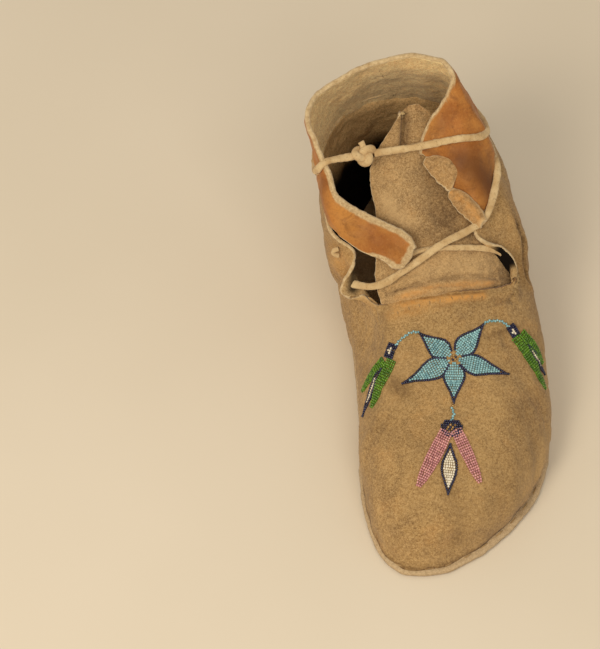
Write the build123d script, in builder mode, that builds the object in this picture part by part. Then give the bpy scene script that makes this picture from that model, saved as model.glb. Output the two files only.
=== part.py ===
"""Ankle moccasin for a left foot: sole, one-piece upper, tongue, tied cuff, thong and beadwork.

Units are millimetres. +Z is up, the toe points to -Y and the outer side of the foot is +X.
The origin is the middle of the sole's underside, at floor level.
"""
import math
import os

from build123d import *

# Driving dimensions
LEATHER = 2.2           # thickness of the upper and the tongue
CUFF_LEATHER = 2.0      # thickness of the cuff's leather
SOLE_THICK = 3.2        # thickness of the hide sole
SOLE_ROUND = 0.6        # rounding of the sole's lower edge
BEAD_THICK = 1.3        # height of the beadwork over the leather
BEAD_OUTLINE = 1.5      # width of a single row of outline beads
BEAD_FLOOR = 20.5       # the beadwork stays above this height
BEAD_CEILING = 80.0     # and below this one
THONG = 3.0             # diameter of the thong
THONG_END = 2.6         # diameter of its thinner ends
TAIL_RADIUS = 1.2       # radius of the knot's two tails
FILLET_SHARE = 0.45     # share of the shorter run that each arc of the thong takes up
GAP = 0.4               # clearance between pieces that move apart
SEAM_Y = -3.0           # the instep seam, where the tongue starts
SEAM_Z = 84.0           # the ankle seam, where the cuff starts at the back
STITCH = 0.8            # thickness of a sinew stitch
SEAM_STITCHES = 36      # places for stitches all round the ankle seam
SEAM_STITCH = 4.0       # length of a stitch across the ankle seam
SEAM_FRONT_Y = 50.0     # the ankle seam's stitches stay behind this
HEEL_STITCH = 4.0       # length of a stitch across the heel seam
HEEL_PITCH = 9          # height from one heel stitch to the next
TONGUE_STITCH = 3.0     # length of a stitch across the instep seam
TONGUE_PITCH = 8        # distance from one instep stitch to the next
SOLE_STITCHES = 44      # stitches all round the sole
SOLE_STITCH = (3.2, 0.7, 0.6)   # length, width and height of one of them
SOLE_STITCH_IN = 1.1    # their distance inside the sole's edge

# Planes that lie outside the whole object, where cutting blocks start and end
FAR_SIDE = 90
FAR_BACK = 120
FAR_TOP = 140

# Sole outline, counter-clockwise from the toe tip
SOLE_OUTLINE = [
    (-26, -122), (-8, -119.5), (15, -107), (35, -88), (46, -64), (48.5, -40), (45, -5), (40, 40),
    (31, 85), (16, 112), (0, 120), (-16, 113), (-30, 85), (-38, 45), (-41, 0), (-44, -35),
    (-49, -70), (-48, -98), (-41, -116),
]

# Where the foot's sides turn into its top, as shares of the way from the crown to the bulge
SHOULDER_OUT = 0.74
SHOULDER_UP = 0.70

# Stations of the foot: y, left base, left bulge, right bulge, right base, bulge z, crown x, crown z
FOOT = [
    (-119, -33, -34, -15, -13, 6, -24, 8.5),
    (-115, -39, -40, -5, -3, 8, -21, 17),
    (-107, -43.5, -44.5, 10, 12, 10, -17, 25),
    (-94, -46, -47.5, 26, 26.5, 12, -11, 32),
    (-74, -46.5, -48.5, 41, 40, 14, -5, 38.5),
    (-50, -43.5, -46.5, 48.5, 45, 17, 0, 45.5),
    (-25, -40, -43.5, 50, 45, 20, 3, 54),
    (0, -38, -43, 50, 43, 24, 4, 65),
    (30, -36, -45.5, 49, 40, 30, 0, 75),
    (60, -33, -44, 46, 35, 32, -3, 79),
    (85, -28, -37, 37, 28, 32, -3, 77),
    (104, -19, -26, 22, 16, 30, -3, 66),
    (116.5, -8, -10, 5, 3, 26, -3, 40),
]

# Rings of the ankle: z, left, right, front, back
ANKLE = [
    (28, -42, 45, 14, 113),
    (58, -48, 47.5, 4, 112),
    (84, -51, 39, 17, 107),
    (110, -55, 29, 36, 100),
    (137, -58.5, 20, 44, 91.5),
]
# Shape of one ring, as fractions of its half width and half depth: straight sides, round back
RING_SHAPE = [
    (1, 0.1), (0.74, 0.74), (0, 1), (-0.74, 0.74), (-1, 0.1), (-0.96, -0.76), (0, -1), (0.96, -0.76),
]

# Side profiles (y, z) of what is cut from the upper: the instep seam, then the quarters' top edge
MOUTH_LEFT = [
    (SEAM_Y, FAR_TOP), (SEAM_Y, 48), (8, 51), (15, 59), (24, 68), (34, 74.5), (46, SEAM_Z),
    (FAR_BACK, SEAM_Z), (FAR_BACK, FAR_TOP),
]
MOUTH_RIGHT = [
    (SEAM_Y, FAR_TOP), (SEAM_Y, 47), (13, 49), (18, 56), (21, 67), (28, 77), (46, SEAM_Z),
    (FAR_BACK, SEAM_Z), (FAR_BACK, FAR_TOP),
]
MIDDLE_X = -3.0         # where the left and right side profiles meet

# Front profile (x, z) of the rim, which is lower on the inner side of the foot
RIM = [
    (-80, 118), (-57, 121), (-46, 127), (-30, 132), (-8, 136), (40, 136.5), (40, 150), (-80, 150),
]

# Side profiles (y, z) of what is kept of the cuff, left and right of the middle
CUFF_LEFT = [(43, SEAM_Z), (50.5, 103), (66, 118), (76, 137), (FAR_BACK, 137), (FAR_BACK, SEAM_Z)]
CUFF_RIGHT = [
    (48, SEAM_Z), (59, 103), (66.5, 118), (74, 131), (80, 136), (FAR_BACK, 137), (FAR_BACK, SEAM_Z),
]

# The tongue: angle, then y along the seam, left edge and right edge, and how far the edges drop
TONGUE_SLOPE = 30.0
TONGUE = [
    (0, -28.5, 32.5, 11),
    (16, -29.5, 31, 7),
    (36, -28, 24, 3.5),
    (60, -28, 17, 3),
    (80, -22, 10, 2.5),
    (91, -9, 4, 1.5),
]
TONGUE_ROOT = (2, SEAM_Y + GAP, 64.8)

# Cuff ends: each station is the strip's lower edge, then its upper edge
FLAP_LEFT = [
    ((-53.4, 38, 80), (-52.6, 47, 102.5)),
    ((-52.7, 31, 76.8), (-50.5, 40, 97.5)),
    ((-49, 24, 75), (-43.5, 34.5, 94)),
    ((-38.5, 17, 74.2), (-30, 28, 90.5)),
    ((-27, 10, 75.3), (-18, 22, 87.5)),
    ((-18.5, 6.5, 77.5), (-11.5, 14, 83.5)),
]
FLAP_RIGHT = [
    ((-2, 52, 100.6), (0, 61, 108)),
    ((7, 47.5, 98), (8, 67.5, 120)),
    ((15, 38.5, 91.5), (16, 74, 131)),
    ((23, 29, 84.5), (23, 67, 116.5)),
    ((28.5, 35, 84.5), (29, 57.5, 101.5)),
]
CORNER = [
    ((-2.2, 48.6, 101.2), (-1.4, 50.9, 103.8)),
    ((6.4, 45.2, 100.2), (6.8, 51.2, 107)),
    ((14.4, 35.7, 94.2), (14.8, 41, 100.2)),
    ((23.3, 25.2, 86.3), (23.8, 28.8, 89.8)),
]

# The thong's routes: round the ankle, over the tongue from side to side, and through the left slit
THONG_TURN = [
    (-34.8, 53.6, 106.3), (-50.5, 52, 106.3), (-57.8, 58, 104), (-57.6, 76, 101), (-52.5, 93.5, 98.5),
    (-36, 104, 97.5), (-12, 107.4, 97), (13, 105.4, 97), (29.5, 97, 98), (37.8, 83, 99.5),
    (38, 67.5, 101), (31, 57.5, 105.8), (16, 53.2, 112.4), (-1.5, 54.2, 107.6), (-12.5, 55.2, 105.6),
    (-25.4, 54, 106.3),
]
THONG_CROSSING = [
    (38.8, 76, 95), (38.8, 62, 94.6), (36.6, 49.5, 91.8), (32.6, 38, 87.6), (26.6, 25, 83),
    (15.5, 19.4, 81.2), (3, 14.6, 81.2), (-8, 10.4, 75.8), (-17.6, 7.5, 71.2), (-26.3, 4.6, 67),
    (-33.6, 4.8, 64.6), (-40.5, 9, 62.6), (-44.2, 16.5, 64.5),
]
THONG_INNER = [
    (-18, 12.6, 73.9), (-11.8, 15, 75.8), (-1.5, 14.2, 77.8), (8, 14, 76.9), (20, 13.9, 74.9),
    (28, 13.6, 72), (34, 12.4, 68), (37.6, 12.6, 61),
]
THONG_SLIT = [(-48.3, 24, 72), (-52.2, 22, 71.2), (-52.6, 18, 68.4), (-48.6, 16, 66.8)]
KNOT_AT = (-30, 53.8, 106.4)
KNOT_TURN = 3.1         # radius of the knot's two interlocked turns
KNOT_TAILS = [((-32, 53.5, 103.6), (-34.5, 51.5, 100.6)), ((-27.6, 53, 108), (-24.2, 51.5, 109.6))]

# Beadwork in plan: root, tip and width of each leaf shape
PETALS = {
    "upper_left": ((-1.6, -29.8), (-13.5, -18), 9),
    "upper_right": ((4, -30), (18, -18), 9),
    "left": ((-3, -33.8), (-25, -39.8), 10),
    "right": ((5.2, -34), (27.5, -41.2), 10),
    "lower": ((0.4, -37.2), (-2, -53.6), 9),
}
GREEN_LEAVES = {
    "left_outer": ((-29.8, -22.5), (-42.4, -27), 5),
    "left_inner": ((-28.5, -25.6), (-39.5, -42), 5.5),
    "right_inner": ((34.5, -22.8), (45, -41.5), 5.5),
    "right_outer": ((36.4, -20.2), (48, -29), 5),
}
SLIM_LEAVES = {"left": ((-31, -24.6), (-42.6, -38.5), 3.4), "right": ((37, -22.6), (48, -36), 3.4)}
PINK_PETALS = {"left": ((-7.5, -69.5), (-25, -89.5), 7), "right": ((-3, -69.6), (6, -92.4), 7)}
WHITE_PETAL = ((-6.6, -72), (-11.6, -95.4), 8)
STEMS = {
    "left": ((-14.6, -16.8), (-19.5, -16), (-24.6, -18.4)),
    "right": ((19.2, -17), (25, -15.6), (30.4, -16.8)),
    "lower": ((-2.4, -54.8), (-4, -58), (-4.6, -61)),
}
CAPS = {"left": (-27, -20.8, 4.6, 4.6, -35), "right": (33, -19.2, 4.6, 4.6, 30)}
CAP_LOWER = ((-4.7, -61.4), (-0.4, -65), (-4.9, -68.9), (-9.2, -65.2))
FLOWER_CENTRE = (1.2, -33.2)
CENTRE_RADIUS = 2.6


os.makedirs("parts", exist_ok=True)


def save(name, solid):
    """Label one finished piece and write its STEP file."""
    solid.label = name
    export_step(solid, f"parts/{name}.step")


# ---- the leather's shape ----

def foot_arch(station, inset):
    """Closed cross-section of the foot at one station, drawn `inset` inside the outer skin."""
    y, left, left_bulge, right_bulge, right, bulge_z, crown_x, crown_z = station
    base_z = SOLE_THICK - 2 * max(inset, 0)
    crown_z -= inset
    left_bulge += inset
    right_bulge -= inset
    shoulder_z = bulge_z + SHOULDER_UP * (crown_z - bulge_z)
    with BuildSketch(Plane.XZ.offset(-y)) as arch:
        with BuildLine():
            Spline(
                (left + inset, base_z),
                (left_bulge, bulge_z),
                (crown_x + SHOULDER_OUT * (left_bulge - crown_x), shoulder_z),
                (crown_x, crown_z),
                (crown_x + SHOULDER_OUT * (right_bulge - crown_x), shoulder_z),
                (right_bulge, bulge_z),
                (right - inset, base_z),
            )
            Line((right - inset, base_z), (left + inset, base_z))
        make_face()
    return arch.sketch


def foot_block(inset):
    """The foot's solid shape, `inset` inside the outer skin."""
    arches = []
    for station in FOOT:
        end_shift = inset if station is FOOT[0] else -inset if station is FOOT[-1] else 0
        arches.append(foot_arch((station[0] + end_shift, *station[1:]), inset))
    with BuildPart() as foot:
        loft(arches)
    return foot.part


def ring_points(ring, inset):
    """Points of one horizontal section of the ankle, `inset` inside the outer skin."""
    _, left, right, front, back = ring
    middle_x, middle_y = (left + right) / 2, (front + back) / 2
    half_x, half_y = (right - left) / 2 - inset, (back - front) / 2 - inset
    return [(middle_x + x * half_x, middle_y + y * half_y) for x, y in RING_SHAPE]


def ankle_block(inset):
    """The ankle's solid shape, `inset` inside the outer skin."""
    rings = []
    for ring in ANKLE:
        with BuildSketch(Plane.XY.offset(ring[0])) as oval:
            with BuildLine():
                Spline(*ring_points(ring, inset), periodic=True)
            make_face()
        rings.append(oval.sketch)
    with BuildPart() as ankle:
        loft(rings)
    return ankle.part


def side_profile(points, x_low, x_high):
    """A block with the side profile `points` (y, z), from x_low to x_high."""
    with BuildPart() as block:
        with BuildSketch(Plane.YZ.offset(x_low)):
            with BuildLine():
                Polyline(*points, close=True)
            make_face()
        extrude(amount=x_high - x_low)
    return block.part


def two_sided(left_points, right_points):
    """A block whose side profile differs left and right of the middle."""
    with BuildPart() as block:
        add(side_profile(left_points, -FAR_SIDE, MIDDLE_X))
        add(side_profile(right_points, MIDDLE_X, FAR_SIDE))
    return block.part


def strip(stations, thickness):
    """A strip of leather lofted through thin rectangles, each from a lower to an upper edge point."""
    lows = [Vector(*low) for low, _ in stations]
    highs = [Vector(*high) for _, high in stations]
    centres = [(low + high) / 2 for low, high in zip(lows, highs)]
    last = len(stations) - 1
    faces = []
    for i, centre in enumerate(centres):
        across = (highs[i] - lows[i]).normalized()
        along = centres[min(i + 1, last)] - centres[max(i - 1, 0)]
        along = (along - across * along.dot(across)).normalized()
        with BuildSketch(Plane(origin=centre, x_dir=across, z_dir=along)) as section:
            Rectangle((highs[i] - lows[i]).length, thickness)
        faces.append(section.sketch)
    with BuildPart() as leather:
        loft(faces)
    return leather.part


foot_skin = foot_block(0)
ankle_skin = ankle_block(0)

# ---- sole ----
with BuildPart() as sole:
    with BuildSketch():
        with BuildLine():
            Spline(*SOLE_OUTLINE, periodic=True)
        make_face()
    extrude(amount=SOLE_THICK)
    fillet(sole.edges().group_by(Axis.Z)[0], SOLE_ROUND)
save("sole", sole.part)

# ---- upper: vamp, quarters and heel in one piece ----
with BuildPart() as upper:
    add(foot_skin)
    add(ankle_skin)
    add(foot_block(LEATHER), mode=Mode.SUBTRACT)
    add(ankle_block(LEATHER), mode=Mode.SUBTRACT)
    add(two_sided(MOUTH_LEFT, MOUTH_RIGHT), mode=Mode.SUBTRACT)
save("upper", upper.part)

# ---- cuff ----
with BuildPart() as cuff:
    add(ankle_skin)
    add(ankle_block(CUFF_LEATHER), mode=Mode.SUBTRACT)
    add(two_sided(CUFF_LEFT, CUFF_RIGHT), mode=Mode.INTERSECT)
    with BuildSketch(Plane.XZ.offset(-FAR_BACK)):
        with BuildLine():
            Polyline(*RIM, close=True)
        make_face()
    extrude(amount=FAR_BACK, mode=Mode.SUBTRACT)
save("cuff", cuff.part)
save("cuff_flap_left", strip(FLAP_LEFT, CUFF_LEATHER))
save("cuff_flap_right", strip(FLAP_RIGHT, CUFF_LEATHER))
save("cuff_corner", strip(CORNER, CUFF_LEATHER))

# ---- tongue ----
slope = math.radians(TONGUE_SLOPE)
uphill = Vector(0, math.cos(slope), math.sin(slope))
tongue_faces = []
for along, left, right, drop in TONGUE:
    origin = Vector(*TONGUE_ROOT) + uphill * along
    left -= TONGUE_ROOT[0]
    right -= TONGUE_ROOT[0]
    with BuildSketch(Plane(origin=origin, x_dir=(1, 0, 0), z_dir=uphill)) as band:
        with BuildLine():
            ThreePointArc((left, drop), (0, 0), (right, drop))
            Line((right, drop), (right, drop + LEATHER))
            ThreePointArc((right, drop + LEATHER), (0, LEATHER), (left, drop + LEATHER))
            Line((left, drop + LEATHER), (left, drop))
        make_face()
    tongue_faces.append(band.sketch)
with BuildPart() as tongue:
    loft(tongue_faces)
save("tongue", tongue.part)

# ---- thong ----
def tube(points, diameter):
    """A cord of straight runs joined by tangent arcs, each as large as its two runs allow."""
    runs = [Vector(*b) - Vector(*a) for a, b in zip(points, points[1:])]
    radii = []
    for before, after in zip(runs, runs[1:]):
        half_turn = math.radians(before.get_angle(after)) / 2
        radii.append(FILLET_SHARE * min(before.length, after.length) / math.tan(half_turn))
    with BuildPart() as cord:
        with BuildLine() as route:
            FilletPolyline(*points, radius=radii)
        path = route.wires()[0]
        with BuildSketch(Plane(origin=path @ 0, z_dir=path % 0)):
            Circle(diameter / 2)
        sweep(path=path)
    section = math.pi * diameter ** 2 / 4
    print(f"cord {path.length:.0f} mm, tightest {min(radii):.1f} mm,",
          f"volume ratio {cord.part.volume / (section * path.length):.3f}")
    return cord.part


save("thong_ankle_turn", tube(THONG_TURN, THONG))
save("thong_crossing_strand", tube(THONG_CROSSING, THONG))
save("thong_inner_strand", tube(THONG_INNER, THONG_END))
save("thong_slit_loop", tube(THONG_SLIT, THONG_END))

with BuildPart() as knot:
    for tilt in ((70, 10, 0), (10, 65, 30)):
        with Locations(Location(KNOT_AT, tilt)):
            Torus(KNOT_TURN, THONG / 2)
    with Locations(KNOT_AT):
        Sphere(KNOT_TURN)
    for start, end in KNOT_TAILS:
        with BuildLine() as tail:
            Line(start, end)
        with BuildSketch(Plane(origin=start, z_dir=tail.line % 0)):
            Circle(TAIL_RADIUS)
        sweep(path=tail.line)
save("thong_knot", knot.part)

# ---- beadwork: each field is a plan outline cut from a thin skin over the vamp ----
with BuildPart() as bead_skin:
    add(foot_block(-BEAD_THICK))
    add(foot_skin, mode=Mode.SUBTRACT)


def leaf(root, tip, width):
    """Pointed leaf shape between two points, in plan."""
    root, tip = Vector(*root), Vector(*tip)
    middle = (root + tip) / 2
    side = (tip - root).normalized().rotate(Axis.Z, 90) * (width / 2)
    with BuildSketch() as outline:
        with BuildLine():
            ThreePointArc(root, middle + side, tip)
            ThreePointArc(tip, middle - side, root)
        make_face()
    return outline.sketch


def inside(outline):
    """A plan outline drawn in by one row of outline beads."""
    with BuildSketch() as smaller:
        add(outline)
        offset(amount=-BEAD_OUTLINE, kind=Kind.INTERSECTION, mode=Mode.REPLACE)
    return smaller.sketch


def bead_field(outline, *holes):
    """Beads sewn on the vamp within a plan outline, outside its neighbours' outlines."""
    with BuildPart() as field:
        with BuildSketch(Plane.XY.offset(BEAD_FLOOR)):
            add(outline)
            for hole in holes:
                add(hole, mode=Mode.SUBTRACT)
        extrude(amount=BEAD_CEILING - BEAD_FLOOR)
        add(bead_skin.part, mode=Mode.INTERSECT)
    return field.part


for name, shape in PETALS.items():
    outer = leaf(*shape)
    inner = inside(outer)
    save(f"petal_{name}", bead_field(inner))
    save(f"petal_outline_{name}", bead_field(outer, inner))
for name, shape in GREEN_LEAVES.items():
    save(f"green_leaf_{name}", bead_field(leaf(*shape)))
for name, shape in SLIM_LEAVES.items():
    greens = [leaf(*green) for side, green in GREEN_LEAVES.items() if side.startswith(name)]
    save(f"slim_leaf_{name}", bead_field(leaf(*shape), *greens))
for name, shape in PINK_PETALS.items():
    save(f"pink_petal_{name}", bead_field(leaf(*shape)))
white_outer = leaf(*WHITE_PETAL)
white_inner = inside(white_outer)
pinks = [leaf(*shape) for shape in PINK_PETALS.values()]
save("white_petal", bead_field(white_inner))
save("white_petal_outline", bead_field(white_outer, white_inner, *pinks))

for name, points in STEMS.items():
    with BuildSketch() as stem:
        with BuildLine():
            ThreePointArc(*points)
        trace(line_width=BEAD_OUTLINE)
    save(f"stem_{name}", bead_field(stem.sketch))
for name, (x, y, length, width, turn) in CAPS.items():
    with BuildSketch() as cap:
        with Locations(Location((x, y), turn)):
            Rectangle(length, width)
    save(f"cap_{name}", bead_field(cap.sketch))
with BuildSketch() as lower_cap:
    with BuildLine():
        Polyline(*CAP_LOWER, close=True)
    make_face()
save("cap_lower", bead_field(lower_cap.sketch))
with BuildSketch() as centre:
    with Locations(FLOWER_CENTRE):
        Circle(CENTRE_RADIUS)
save("flower_centre", bead_field(centre.sketch))

# ---- sinew stitching ----
with BuildPart() as stitch_skin:
    add(foot_block(-STITCH))
    add(ankle_block(-STITCH))
    add(foot_skin, mode=Mode.SUBTRACT)
    add(ankle_skin, mode=Mode.SUBTRACT)


def stitches(places, size):
    """Short stitches over the leather, one box at each place, kept to the skin."""
    with BuildPart() as thread:
        with Locations(*places):
            Box(*size)
        add(stitch_skin.part, mode=Mode.INTERSECT)
    return thread.part


with BuildLine() as seam_line:
    Spline(*ring_points(ANKLE[2], 0), periodic=True)
seam_ring = seam_line.edges()[0]
seam_places = []
for i in range(SEAM_STITCHES):
    spot = seam_ring @ (i / SEAM_STITCHES)
    along = seam_ring % (i / SEAM_STITCHES)
    if spot.Y > SEAM_FRONT_Y:
        turn = math.degrees(math.atan2(along.Y, along.X))
        seam_places.append(Location((spot.X, spot.Y, SEAM_Z), (0, 0, turn)))
save("cuff_stitches", stitches(seam_places, (STITCH, SEAM_STITCH, SEAM_STITCH)))

heel_places = [Location((MIDDLE_X, 112, z)) for z in range(14, 80, HEEL_PITCH)]
save("heel_stitches", stitches(heel_places, (HEEL_STITCH, 16, STITCH)))
tongue_places = [Location((x, SEAM_Y - 2.5, 60)) for x in range(-24, 33, TONGUE_PITCH)]
save("tongue_stitches", stitches(tongue_places, (STITCH, TONGUE_STITCH, 40)))

with BuildPart() as sole_stitches:
    with BuildLine(Plane.XY.offset(SOLE_THICK), mode=Mode.PRIVATE) as sole_line:
        Spline(*SOLE_OUTLINE, periodic=True)
    sole_edge = sole_line.edges()[0]
    for i in range(SOLE_STITCHES):
        along = sole_edge % (i / SOLE_STITCHES)
        inward = Vector(-along.Y, along.X)
        spot = sole_edge @ (i / SOLE_STITCHES) + inward * SOLE_STITCH_IN
        turn = math.degrees(math.atan2(along.Y, along.X))
        with Locations(Location(spot, (0, 0, turn))):
            Box(*SOLE_STITCH, align=(Align.CENTER, Align.CENTER, Align.MIN))
save("sole_stitches", sole_stitches.part)
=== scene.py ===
import math
import random

import bpy
import numpy as np
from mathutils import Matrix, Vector, noise
from mathutils.bvhtree import BVHTree


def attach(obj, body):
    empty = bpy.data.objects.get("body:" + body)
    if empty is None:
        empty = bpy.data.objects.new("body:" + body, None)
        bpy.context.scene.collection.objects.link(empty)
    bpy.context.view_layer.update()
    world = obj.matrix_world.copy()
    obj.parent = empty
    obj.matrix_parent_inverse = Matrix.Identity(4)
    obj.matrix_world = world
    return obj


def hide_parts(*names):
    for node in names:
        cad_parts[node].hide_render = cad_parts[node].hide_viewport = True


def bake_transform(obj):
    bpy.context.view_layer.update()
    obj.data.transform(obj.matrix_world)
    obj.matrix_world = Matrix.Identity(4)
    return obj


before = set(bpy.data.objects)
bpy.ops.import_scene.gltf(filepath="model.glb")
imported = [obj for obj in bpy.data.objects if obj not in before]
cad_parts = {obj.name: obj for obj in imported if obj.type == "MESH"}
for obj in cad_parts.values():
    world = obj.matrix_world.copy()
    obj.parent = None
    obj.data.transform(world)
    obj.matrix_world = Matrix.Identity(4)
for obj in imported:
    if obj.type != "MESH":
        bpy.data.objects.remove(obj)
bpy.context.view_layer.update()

# Tables below are in millimetres, in the CAD frame. MM turns them into metres.
MM = 0.001
random.seed(7)

# ---------------------------------------------------------------- curves and grids


def smooth_path(points, count, closed=False):
    """`count` points on a Catmull-Rom curve through the control points."""
    p = np.array(points, float)
    n = len(p)
    if closed:
        padded = np.vstack([p[-1:], p, p[:2]])
        spans = n
    else:
        padded = np.vstack([2 * p[:1] - p[1:2], p, 2 * p[-1:] - p[-2:-1]])
        spans = n - 1
    u = np.linspace(0, spans, count, endpoint=not closed)
    i = np.minimum(u.astype(int), spans - 1)
    f = (u - i)[:, None]
    a, b, c, d = padded[i], padded[i + 1], padded[i + 2], padded[i + 3]
    return 0.5 * (2 * b + (c - a) * f + (2 * a - 5 * b + 4 * c - d) * f**2 + (3 * b - a - 3 * c + d) * f**3)


def steps_of(path):
    """The length of each step of a path."""
    return np.linalg.norm(np.diff(path, axis=0), axis=1)


def distances(path):
    """How far along a path each of its points lies."""
    return np.concatenate([[0], np.cumsum(steps_of(path))])


def sample(path, along, at):
    """The path at the places `at`, where `along` gives the place of each of its points."""
    return np.stack([np.interp(at, along, path[:, k]) for k in range(path.shape[1])], 1)


def even(path, count, closed=False):
    """The same path with `count` points evenly spaced along it."""
    p = np.vstack([path, path[:1]]) if closed else path
    along = distances(p)
    return sample(p, along, np.linspace(0, along[-1], count, endpoint=not closed))


def unit(v):
    """Vectors made one long."""
    return v / np.maximum(np.linalg.norm(v, axis=-1, keepdims=True), 1e-12)


def inward(ring):
    """Unit vectors into a closed ring that runs anticlockwise in plan."""
    tangent = unit(np.roll(ring, -1, 0) - np.roll(ring, 1, 0))
    return np.stack([-tangent[:, 1], tangent[:, 0]], 1)


def ramp(x, low, high):
    """0 below low, 1 above high, and smooth between them."""
    t = np.clip((x - low) / (high - low), 0, 1)
    return t * t * (3 - 2 * t)


def bell(x, width):
    """1 where x is 0, falling away on both sides over about `width`."""
    return np.exp(-((x / width) ** 2))


def grid_normals(grid, closed):
    """Unit normals of a grid of points, rows going up and columns going anticlockwise seen from above."""
    if closed:
        across = np.roll(grid, -1, 1) - np.roll(grid, 1, 1)
    else:
        across = np.gradient(grid, axis=1)
    return unit(np.cross(across, np.gradient(grid, axis=0)))


def relax(grid, passes, closed, keep):
    """Softens a grid; `keep` is 1 where points stay put."""
    for _ in range(passes):
        mid = grid.copy()
        left = np.roll(grid, 1, 1)
        right = np.roll(grid, -1, 1)
        if not closed:
            left[:, 0], right[:, -1] = grid[:, 0], grid[:, -1]
        mid[1:-1] = (grid[:-2] + grid[2:] + left[1:-1] + right[1:-1]) / 4
        grid = grid + (mid - grid) * (1 - keep)[..., None]
    return grid


def fractal(points, size, octaves=3, seed=0):
    """Smooth noise about 0 at each point; `size` is the millimetres of one lump."""
    flat = np.asarray(points, float).reshape(-1, 3) / size + seed * 17.3
    out = [noise.fractal(Vector(p), 0.8, 2.0, octaves) for p in flat]
    return np.array(out).reshape(np.asarray(points).shape[:-1])


def along_line(points, line):
    """Distance of each point from a polyline."""
    best = np.full(points.shape[:-1], 1e9)
    for a, b in zip(np.array(line[:-1], float), np.array(line[1:], float)):
        t = np.clip(((points - a) @ (b - a)) / max((b - a) @ (b - a), 1e-9), 0, 1)
        best = np.minimum(best, np.linalg.norm(points - (a + t[..., None] * (b - a)), axis=-1))
    return best


def painted(points, marks):
    """The strongest mark at each point. A mark is a line, its half width and its strength."""
    total = np.zeros(points.shape[:-1])
    for line, width, strength in marks:
        total = np.maximum(total, strength * bell(along_line(points, line), width))
    return total


def add_folds(lift, points, folds, wander=1):
    """Adds ridges and dents to the lift. Each is a line, its half width and its height."""
    for line, width, height in folds:
        lift += height * bell(along_line(points, line), width * wander)


def fray(grid, edge, amount):
    """Moves a grid's first row (edge 0) or last row (edge -1) outwards, by an amount for each point."""
    grid[edge] += unit(grid[edge] - grid[1 if edge == 0 else -2]) * amount[:, None]


# ---------------------------------------------------------------- meshes


def table_faces(table, wrap=False, turn=False):
    """Four-sided faces over a table of vertex numbers. `wrap` joins its last column to its first."""
    here, after = (table, np.roll(table, -1, 1)) if wrap else (table[:, :-1], table[:, 1:])
    faces = np.stack([here[:-1], after[:-1], after[1:], here[1:]], -1).reshape(-1, 4)
    return (faces[:, ::-1] if turn else faces).tolist()


def tube_faces(rings, sides, first=0):
    """Faces of a tube with closed ends, its vertices numbered ring by ring from `first`."""
    table = first + np.arange(rings * sides).reshape(rings, sides)
    after = np.roll(table, -1, 1)
    quads = np.stack([table[:-1], table[1:], after[1:], after[:-1]], -1).reshape(-1, 4).tolist()
    return quads + [table[0].tolist(), table[-1][::-1].tolist()]


def make_mesh(name, verts, faces, materials, indices=None, paint=None):
    """A smooth-shaded piece. `verts` are millimetres; `paint` holds a number per vertex for each name."""
    mesh = bpy.data.meshes.new(name)
    verts = np.asarray(verts, float) * MM
    mesh.from_pydata(verts.tolist(), [], [list(map(int, f)) for f in faces])
    for m in materials:
        mesh.materials.append(m)
    if indices is not None:
        mesh.polygons.foreach_set("material_index", np.asarray(indices, np.int32))
    mesh.polygons.foreach_set("use_smooth", np.ones(len(mesh.polygons), bool))
    rest = mesh.attributes.new("rest", "FLOAT_VECTOR", "POINT")
    rest.data.foreach_set("vector", verts.astype(np.float32).ravel())
    for key, values in (paint or {}).items():
        attribute = mesh.attributes.new(key, "FLOAT", "POINT")
        attribute.data.foreach_set("value", np.asarray(values, np.float32).ravel())
    mesh.update()
    obj = bpy.data.objects.new(name, mesh)
    bpy.context.scene.collection.objects.link(obj)
    return obj


def stand_in(piece, slot, *nodes, body="root"):
    """Hides the CAD nodes that a piece stands for and puts it on the body that it rides on. `slot`, a
    material slot's name, is not used.
    """
    if nodes:
        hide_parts(*nodes)
    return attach(piece, body)


ROUND_STEPS = (40, 90, 140)             # degrees round a cut edge, from the outer face to the inner


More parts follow.
